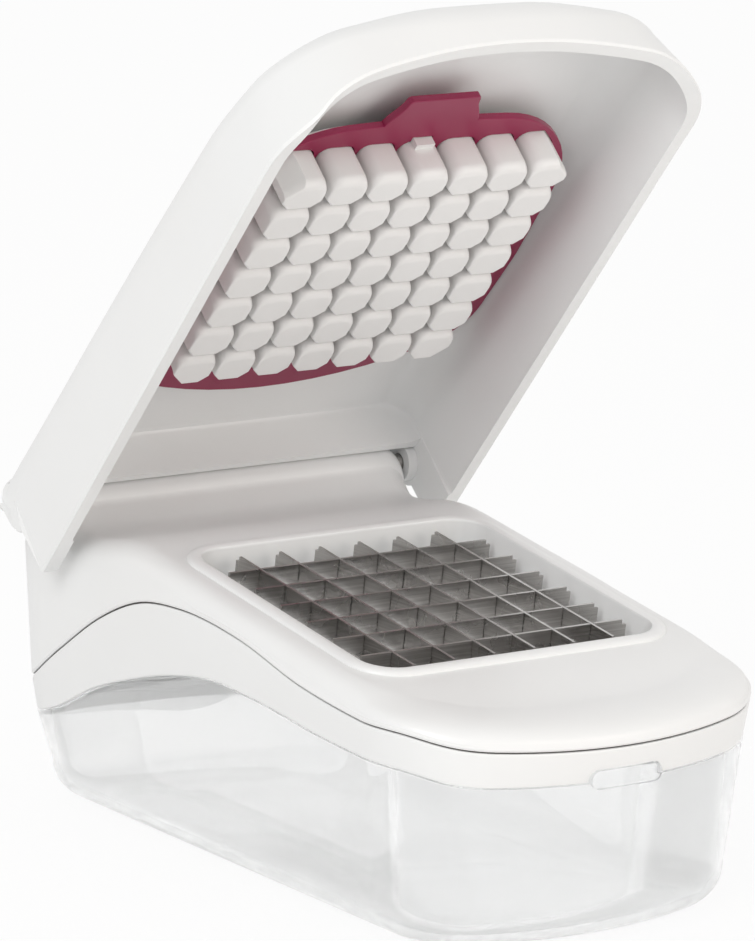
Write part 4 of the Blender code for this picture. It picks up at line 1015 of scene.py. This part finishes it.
def floor_material():
    """Pale floor that is seen nearly white and keeps a trace of the object's shadow."""
    shader = Shader("studio_floor")
    shader.feed("Base Color", shader.ramp(shader.noise(3.0), grey(0.93), grey(0.95)))
    shader.set(Roughness=0.75)
    tree = shader.tree
    share = tree.nodes.new("ShaderNodeMath")
    share.operation = "MULTIPLY"
    share.inputs[1].default_value = FLOOR_SEEN_WHITE
    white = tree.nodes.new("ShaderNodeEmission")
    white.inputs["Strength"].default_value = SEEN_WHITE
    mix = tree.nodes.new("ShaderNodeMixShader")
    shader.join(seen_directly(tree), share.inputs[0])
    shader.join(share.outputs[0], mix.inputs[0])
    shader.join(shader.principled.outputs[0], mix.inputs[1])
    shader.join(white.outputs[0], mix.inputs[2])
    shader.join(mix.outputs[0], shader.output.inputs[0])
    return shader.material


def dress(name, material):
    """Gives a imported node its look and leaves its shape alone."""
    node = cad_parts[name]
    node.data.materials.clear()
    node.data.materials.append(material)


def make_pieces():
    """Fine pieces over the moulded nodes. Blades, pins, screws and carrier stay as they were packed."""
    white = moulded_plastic("white_plastic", WHITE_TONES, 0.36)
    tips = moulded_plastic("white_plastic_fingers", FINGER_TONES, 0.42)
    magenta = moulded_plastic("magenta_plastic", MAGENTA_TONES, 0.40, 0.08)
    clear = clear_plastic("clear_plastic")
    seam_shade = seam_shade_material("dark_seal")
    piece("tub_clear", tub_mesh(), "tub", "tub", clear)
    piece("collar_band", collar_mesh(), "head", "collar", white)
    # The dark ring in the seam is painted shade in place of the gap's shadow.
    piece("seam_shade_ring", seam_shade_mesh(), "head", "deck_seal", seam_shade)
    piece("deck_shell", deck_mesh(), "head", "deck", white)
    piece("lid_shell", lid_mesh(), "lid", "lid", white, LID_SHARP_ANGLE)
    piece("pusher_fingers", pusher_mesh(), "lid", "pusher", tips)
    piece("grid_plate", cleaning_grid_mesh(), "cleaning_grid", "cleaning_grid", magenta)
    dress("blade_carrier", white)
    across, lengthways = brushed_steel("steel_across", "x"), brushed_steel("steel_lengthways", "y")
    for number in range(1, BLADE_COUNT + 1):
        dress(f"blade_cross_{number}", across)
        dress(f"blade_long_{number}", lengthways)
    round_steel = brushed_steel("steel_round", "round", 0.3)
    for name in ["hinge_pin_left", "hinge_pin_right", *(f"pusher_screw_{n}" for n in range(1, 5))]:
        dress(name, round_steel)


def make_floor():
    """Floor of the studio, a hair below the tub's foot."""
    mesh = bpy.data.meshes.new("studio_floor")
    h = FLOOR_HALF
    mesh.from_pydata([(-h, -h, 0), (h, -h, 0), (h, h, 0), (-h, h, 0)], [], [(0, 1, 2, 3)])
    floor = bpy.data.objects.new("studio_floor", mesh)
    floor.location.z = -FLOOR_DROP
    bpy.context.scene.collection.objects.link(floor)
    mesh.materials.append(floor_material())


def make_world():
    """Even soft light. Camera, glossy and transmitted rays see plain white."""
    world = bpy.data.worlds.new("studio")
    bpy.context.scene.world = world
    world.use_nodes = True
    tree = world.node_tree
    tree.nodes.clear()
    output = tree.nodes.new("ShaderNodeOutputWorld")
    lighting = tree.nodes.new("ShaderNodeBackground")
    lighting.inputs["Color"].default_value = (1.0, 0.985, 0.97, 1.0)
    lighting.inputs["Strength"].default_value = WORLD_LIGHT
    seen = tree.nodes.new("ShaderNodeBackground")
    seen.inputs["Color"].default_value = grey(1.0)
    seen.inputs["Strength"].default_value = SEEN_WHITE
    mix = tree.nodes.new("ShaderNodeMixShader")
    tree.links.new(seen_directly(tree), mix.inputs[0])
    tree.links.new(lighting.outputs[0], mix.inputs[1])
    tree.links.new(seen.outputs[0], mix.inputs[2])
    tree.links.new(mix.outputs[0], output.inputs[0])


def make_lamp(name, place, size, power, color=(1.0, 1.0, 1.0)):
    """Soft square lamp that faces the object."""
    data = bpy.data.lights.new(name, "AREA")
    data.size = size
    data.energy = power
    data.color = color
    lamp = bpy.data.objects.new(name, data)
    lamp.location = place
    lamp.rotation_euler = (-Vector(place)).to_track_quat("-Z", "Y").to_euler()
    bpy.context.scene.collection.objects.link(lamp)


def make_camera():
    data = bpy.data.cameras.new("camera")
    data.lens = CAMERA_LENS
    data.sensor_width = CAMERA_SENSOR
    data.clip_end = CAMERA_FAR
    camera = bpy.data.objects.new("camera", data)
    rows = [[*row, place] for row, place in zip(CAMERA_ROWS, CAMERA_PLACE)]
    camera.matrix_world = Matrix([*rows, [0.0, 0.0, 0.0, 1.0]])
    bpy.context.scene.collection.objects.link(camera)
    bpy.context.scene.camera = camera


make_camera()
make_world()
make_lamp("key", KEY_PLACE, KEY_SIZE, KEY_POWER)
make_lamp("fill", FILL_PLACE, FILL_SIZE, FILL_POWER, FILL_COLOR)
make_floor()
make_pieces()
bpy.context.scene.view_settings.view_transform = "Standard"
bpy.context.view_layer.update()
